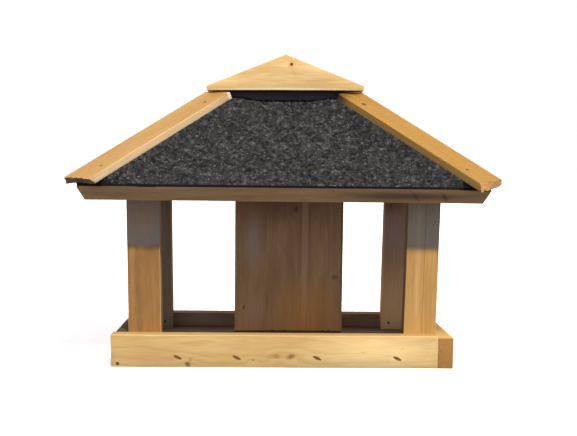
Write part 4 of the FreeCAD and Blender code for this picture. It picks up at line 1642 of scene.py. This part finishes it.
@dataclass
class HipBoards(SubAssembly):
    """Four boards that cover the felt's joints, with rough-sawn feet. Sizes are in millimetres.

    The front ones follow the lifted cap by a share of its lift, and run on below it. The nails'
    rust is written for the rear right board, and the other marks get their places in build.
    """

    arris: float = 0.8
    swell: float = 0.6
    raised: float = 0.1
    follow: float = 0.9
    run_on: float = 40.0
    # The line painted along each board's edge towards the front or rear: a painted highlight on the
    # left, painted shade on the right.
    painted_edge_light: Mark = Mark((0.0, 0.0, 0.0), 160.0, 1.9, "#e0c696", 0.75, 0.4, half_depth=12.0)
    nail_rust: tuple[Mark, ...] = (Mark((110.5, 27.0, 356.5), 5.4, 6.5, "#5a3606", 0.62, 0.7),
                                   Mark((235.5, 124.2, 268.0), 4.5, 4.5, "#6b4617", 0.3, 0.8))
    # Painted shade along the cap's lower edge on the front boards.
    cap_shade: Mark = Mark((0.0, 0.0, 0.0), 34.0, 11.5, "#2a180b", 0.97, 0.25, half_depth=20.0)
    cap_shade_up: float = 7.0
    left: HipSide = HipSide(
        wood=StainedSpruce("spruce, honey stain, left hip boards", early="#b69356", late="#a57b43",
                           deep="#a67e43", raw="#d5b986", end="#8c6a3e", late_strength=0.3, worn=0.1),
        # A painted highlight along the edge, and a pale tip.
        sawn="#e0c696", rust=0.5, cut=(-2.0, -1.8, 11.0, 7.5), ragged=2.8, droop=(0.0, 1.5),
        tip=Mark((0.0, 0.0, 0.0), 7.0, 5.0, "#f3e3c4", 0.85, 0.6, half_depth=14.0))
    right: HipSide = HipSide(
        wood=StainedSpruce("spruce, orange stain, right hip boards", early="#a6803a", late="#966d2c",
                           deep="#996f2c", raw="#b58d49", end="#c09258", late_strength=0.3, worn=0.1),
        # Painted shade along the edge, and the cap's painted shadow on the tip.
        sawn="#a07836", rust=1.5, cut=(0.0, 2.5, 0.5, 8.0), ragged=1.5, droop=(-1.6, 1.7),
        tip=Mark((0.0, 0.0, 0.0), 26.0, 24.0, "#3a2817", 0.95, 1.0, half_depth=14.0))

    def build(self, shared: Finishes) -> None:
        """Build and dress the boards.

        Args:
            shared: The materials that several sub-assemblies share.
        """
        slope = Roof.slopes()[0]
        ends = {"front_left": (-1, -1), "front_right": (1, -1),
                "rear_left": (-1, 1), "rear_right": (1, 1)}
        for seed, (end, (x, y)) in enumerate(ends.items()):
            side = self.left if x < 0 else self.right
            eave = Vector((x * slope.eave_right.x, -y * slope.eave_right.y, slope.eave_right.z))
            ridge = Vector((x * slope.ridge_right.x, 0.0, slope.ridge_right.z))
            run = unit(ridge - eave)
            face = hip_face(f"hip_board_{end}")
            # Flip says on which side of the board its edge towards the front or rear lies.
            flip = 1 if run.cross(face).y * y > 0.0 else -1
            board = Board(f"hip_board_{end}", run, face, arris=self.arris, seed=80 + seed,
                          pith=(10.0 + 9.0 * seed, 48.0), ragged=side.ragged,
                          foot=side.cut if flip > 0 else side.cut[2:] + side.cut[:2],
                          widen=(self.swell, self.swell), droop=side.droop[::flip])
            # Along the edge towards the front or rear: a painted highlight on the left boards, painted
            # shade on the right ones.
            edge = tuple(board.at(0.0, flip, 0.0) / MM)
            marks = [replace(self.painted_edge_light, place=edge, colour=side.sawn)]
            for rust in self.nail_rust:
                place = (x * rust.place[0], y * rust.place[1], rust.place[2])
                marks.append(replace(rust, place=place, strength=rust.strength * side.rust))
            if y < 0:
                board.rise = self.raised + CAP_LIFT[x > 0].z * self.follow
                board.run_on = self.run_on
                # At the front: the tip's mark, with the cap's painted shadow on the right, and the
                # painted shade under the cap.
                marks.append(replace(side.tip, place=tuple(board.at(1.0, flip, 0.0) / MM)))
                marks.append(self._shade_under_cap(board))
            finish = replace(side.wood, name=f"{side.wood.name}, {end}", marks=tuple(marks))
            self.pieces.append(board.build(finish, shared.bruise))

    def _shade_under_cap(self, board: Board) -> Mark:
        """Place the painted shade that the cap's lower edge casts on a front hip board.

        Args:
            board: The hip board.

        Returns:
            The mark, level on the board's upper face.
        """
        top = board.at(0.0, 0.0, 1.0)
        top += board.run * (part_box(board.node)[1].z - top.z) / board.run.z
        level = board.face.cross(Z_AXIS)
        place = top + unit(level.cross(board.face)) * self.cap_shade_up * MM
        tilt = math.degrees(math.atan2(level.dot(board.axes[1]), level.dot(board.run)))
        return replace(self.cap_shade, place=tuple(place / MM), tilt_deg=tilt)


@dataclass
class Cap(SubAssembly):
    """Two three-cornered boards on edge, back to back, over the ridge."""

    arris: float = 0.5
    wood: StainedSpruce = StainedSpruce("spruce, honey stain, cap", early="#e4c684", late="#cfa55c",
                                        deep="#c4954f", late_strength=0.18, blotch_strength=0.75,
                                        ring=4.2, warp=9.0)

    def build(self, shared: Finishes) -> None:
        """Build and dress the boards.

        Args:
            shared: The materials that several sub-assemblies share.
        """
        finishes = {"front": replace(self.wood, name="spruce, honey stain, front cap", marks=CAP_MARKS),
                    "rear": self.wood}
        for seed, (side, finish) in enumerate(finishes.items()):
            face = -Y_AXIS if side == "front" else Y_AXIS
            lift = CAP_LIFT if side == "front" else REAR_CAP_LIFT
            board = Board(f"cap_board_{side}", X_AXIS, face, f"cap_board_{side}_sawn",
                          arris=self.arris, lean=lift, seed=110 + seed,
                          pith=(24.0 + 10.0 * seed, 42.0))
            self.pieces.append(board.build(finish, shared.bruise))


@dataclass
class Fasteners(SubAssembly):
    """Nails and staples, driven a little below the wood. Depths are in millimetres."""

    nail_depth: float = 0.5
    staple_depth: float = 0.6
    nails: tuple[str, ...] = ("tray_corner_nails", "post_nails", "wall_nails", "roof_nails",
                              "hip_nails", "cap_nails")

    def build(self, shared: Finishes) -> None:
        """Drive every nail and staple home.

        Args:
            shared: The materials that several sub-assemblies share.
        """
        for node in self.nails:
            self.pieces.append(self._drive(node, shared.nail, self.nail_depth, self._nail_way))
        self.pieces.append(self._drive("floor_staples", shared.staple, self.staple_depth,
                                       self._staple_way))

    @staticmethod
    def _drive(node: str, steel: bpy.types.Material, depth: float,
               way: Callable[[np.ndarray], Vector]) -> bpy.types.Object:
        """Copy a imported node's fasteners and push each in along its own axis.

        Args:
            node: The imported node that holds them.
            steel: Their material.
            depth: How far each is pushed in, in mm.
            way: Gives the way in which one of them was driven, from its points.

        Returns:
            The piece.
        """
        solid = bmesh.new()
        solid.from_mesh(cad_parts[node].data)
        bmesh.ops.remove_doubles(solid, verts=solid.verts, dist=WELD)
        for body in Fasteners._bodies(solid):
            push = way(np.array([v.co for v in body])) * depth * MM
            if node == "cap_nails":
                # It goes with its cap board, midway along.
                lift = CAP_LIFT if sum(v.co.y for v in body) < 0.0 else REAR_CAP_LIFT
                push += lift[0].lerp(lift[1], 0.5) * MM
            for v in body:
                v.co += push
        mesh = bpy.data.meshes.new(f"{node}_driven")
        solid.to_mesh(mesh)
        solid.free()
        smooth(mesh, angle_deg=35.0)
        return hang(mesh, f"{node}_driven", node, [steel])

    @staticmethod
    def _bodies(solid: bmesh.types.BMesh) -> list[list[bmesh.types.BMVert]]:
        """Tell a node's fasteners apart.

        Args:
            solid: The mesh that holds them all.

        Returns:
            The corners of each.
        """
        bodies = []
        seen = set()
        for first in solid.verts:
            if first in seen:
                continue
            seen.add(first)
            body = [first]
            for v in body:
                for other in (edge.other_vert(v) for edge in v.link_edges):
                    if other not in seen:
                        seen.add(other)
                        body.append(other)
            bodies.append(body)
        return bodies

    @staticmethod
    def _nail_way(points: np.ndarray) -> Vector:
        """Find the way a nail was driven: from its wide head towards its point.

        Args:
            points: The nail's corners.

        Returns:
            The direction.
        """
        middle = points.mean(axis=0)
        axis = np.linalg.svd(points - middle)[2][0]
        reach = (points - middle) @ axis
        off = np.linalg.norm((points - middle) - np.outer(reach, axis), axis=1)
        half = (reach.max() + reach.min()) / 2
        if off[reach > half].max() > off[reach < half].max():
            axis = -axis
        return Vector(axis)

    @staticmethod
    def _staple_way(points: np.ndarray) -> Vector:
        """Find the way a staple was driven: level, towards the table's middle.

        Args:
            points: The staple's corners.

        Returns:
            The direction.
        """
        x, y, _ = points.mean(axis=0)
        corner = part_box("tray_front_rail")[0]
        if abs(x / corner.x) > abs(y / corner.y):
            return X_AXIS * -math.copysign(1.0, x)
        return Y_AXIS * -math.copysign(1.0, y)


def main() -> None:
    """Build the scene in order and report each piece."""
    logging.basicConfig(level=logging.INFO, format="%(name)s: %(message)s")
    noise.seed_set(NOISE_SEED)
    Viewpoint().build()
    studio = Studio()
    key = studio.build()
    shared = Finishes()
    wall, roof, hips, cap = CentreWall(), Roof(), HipBoards(), Cap()
    for part in (Tray(), Posts(), wall, roof, hips, cap, Fasteners()):
        part.build(shared)
        log.info("%s: %d pieces", type(part).__name__, len(part.pieces))
    shaded = wall.pieces + [piece for piece in roof.pieces if "board" in piece.name]
    studio.key.flag(key, shaded, hips.pieces, cap.pieces)


if __name__ == "__main__":
    main()
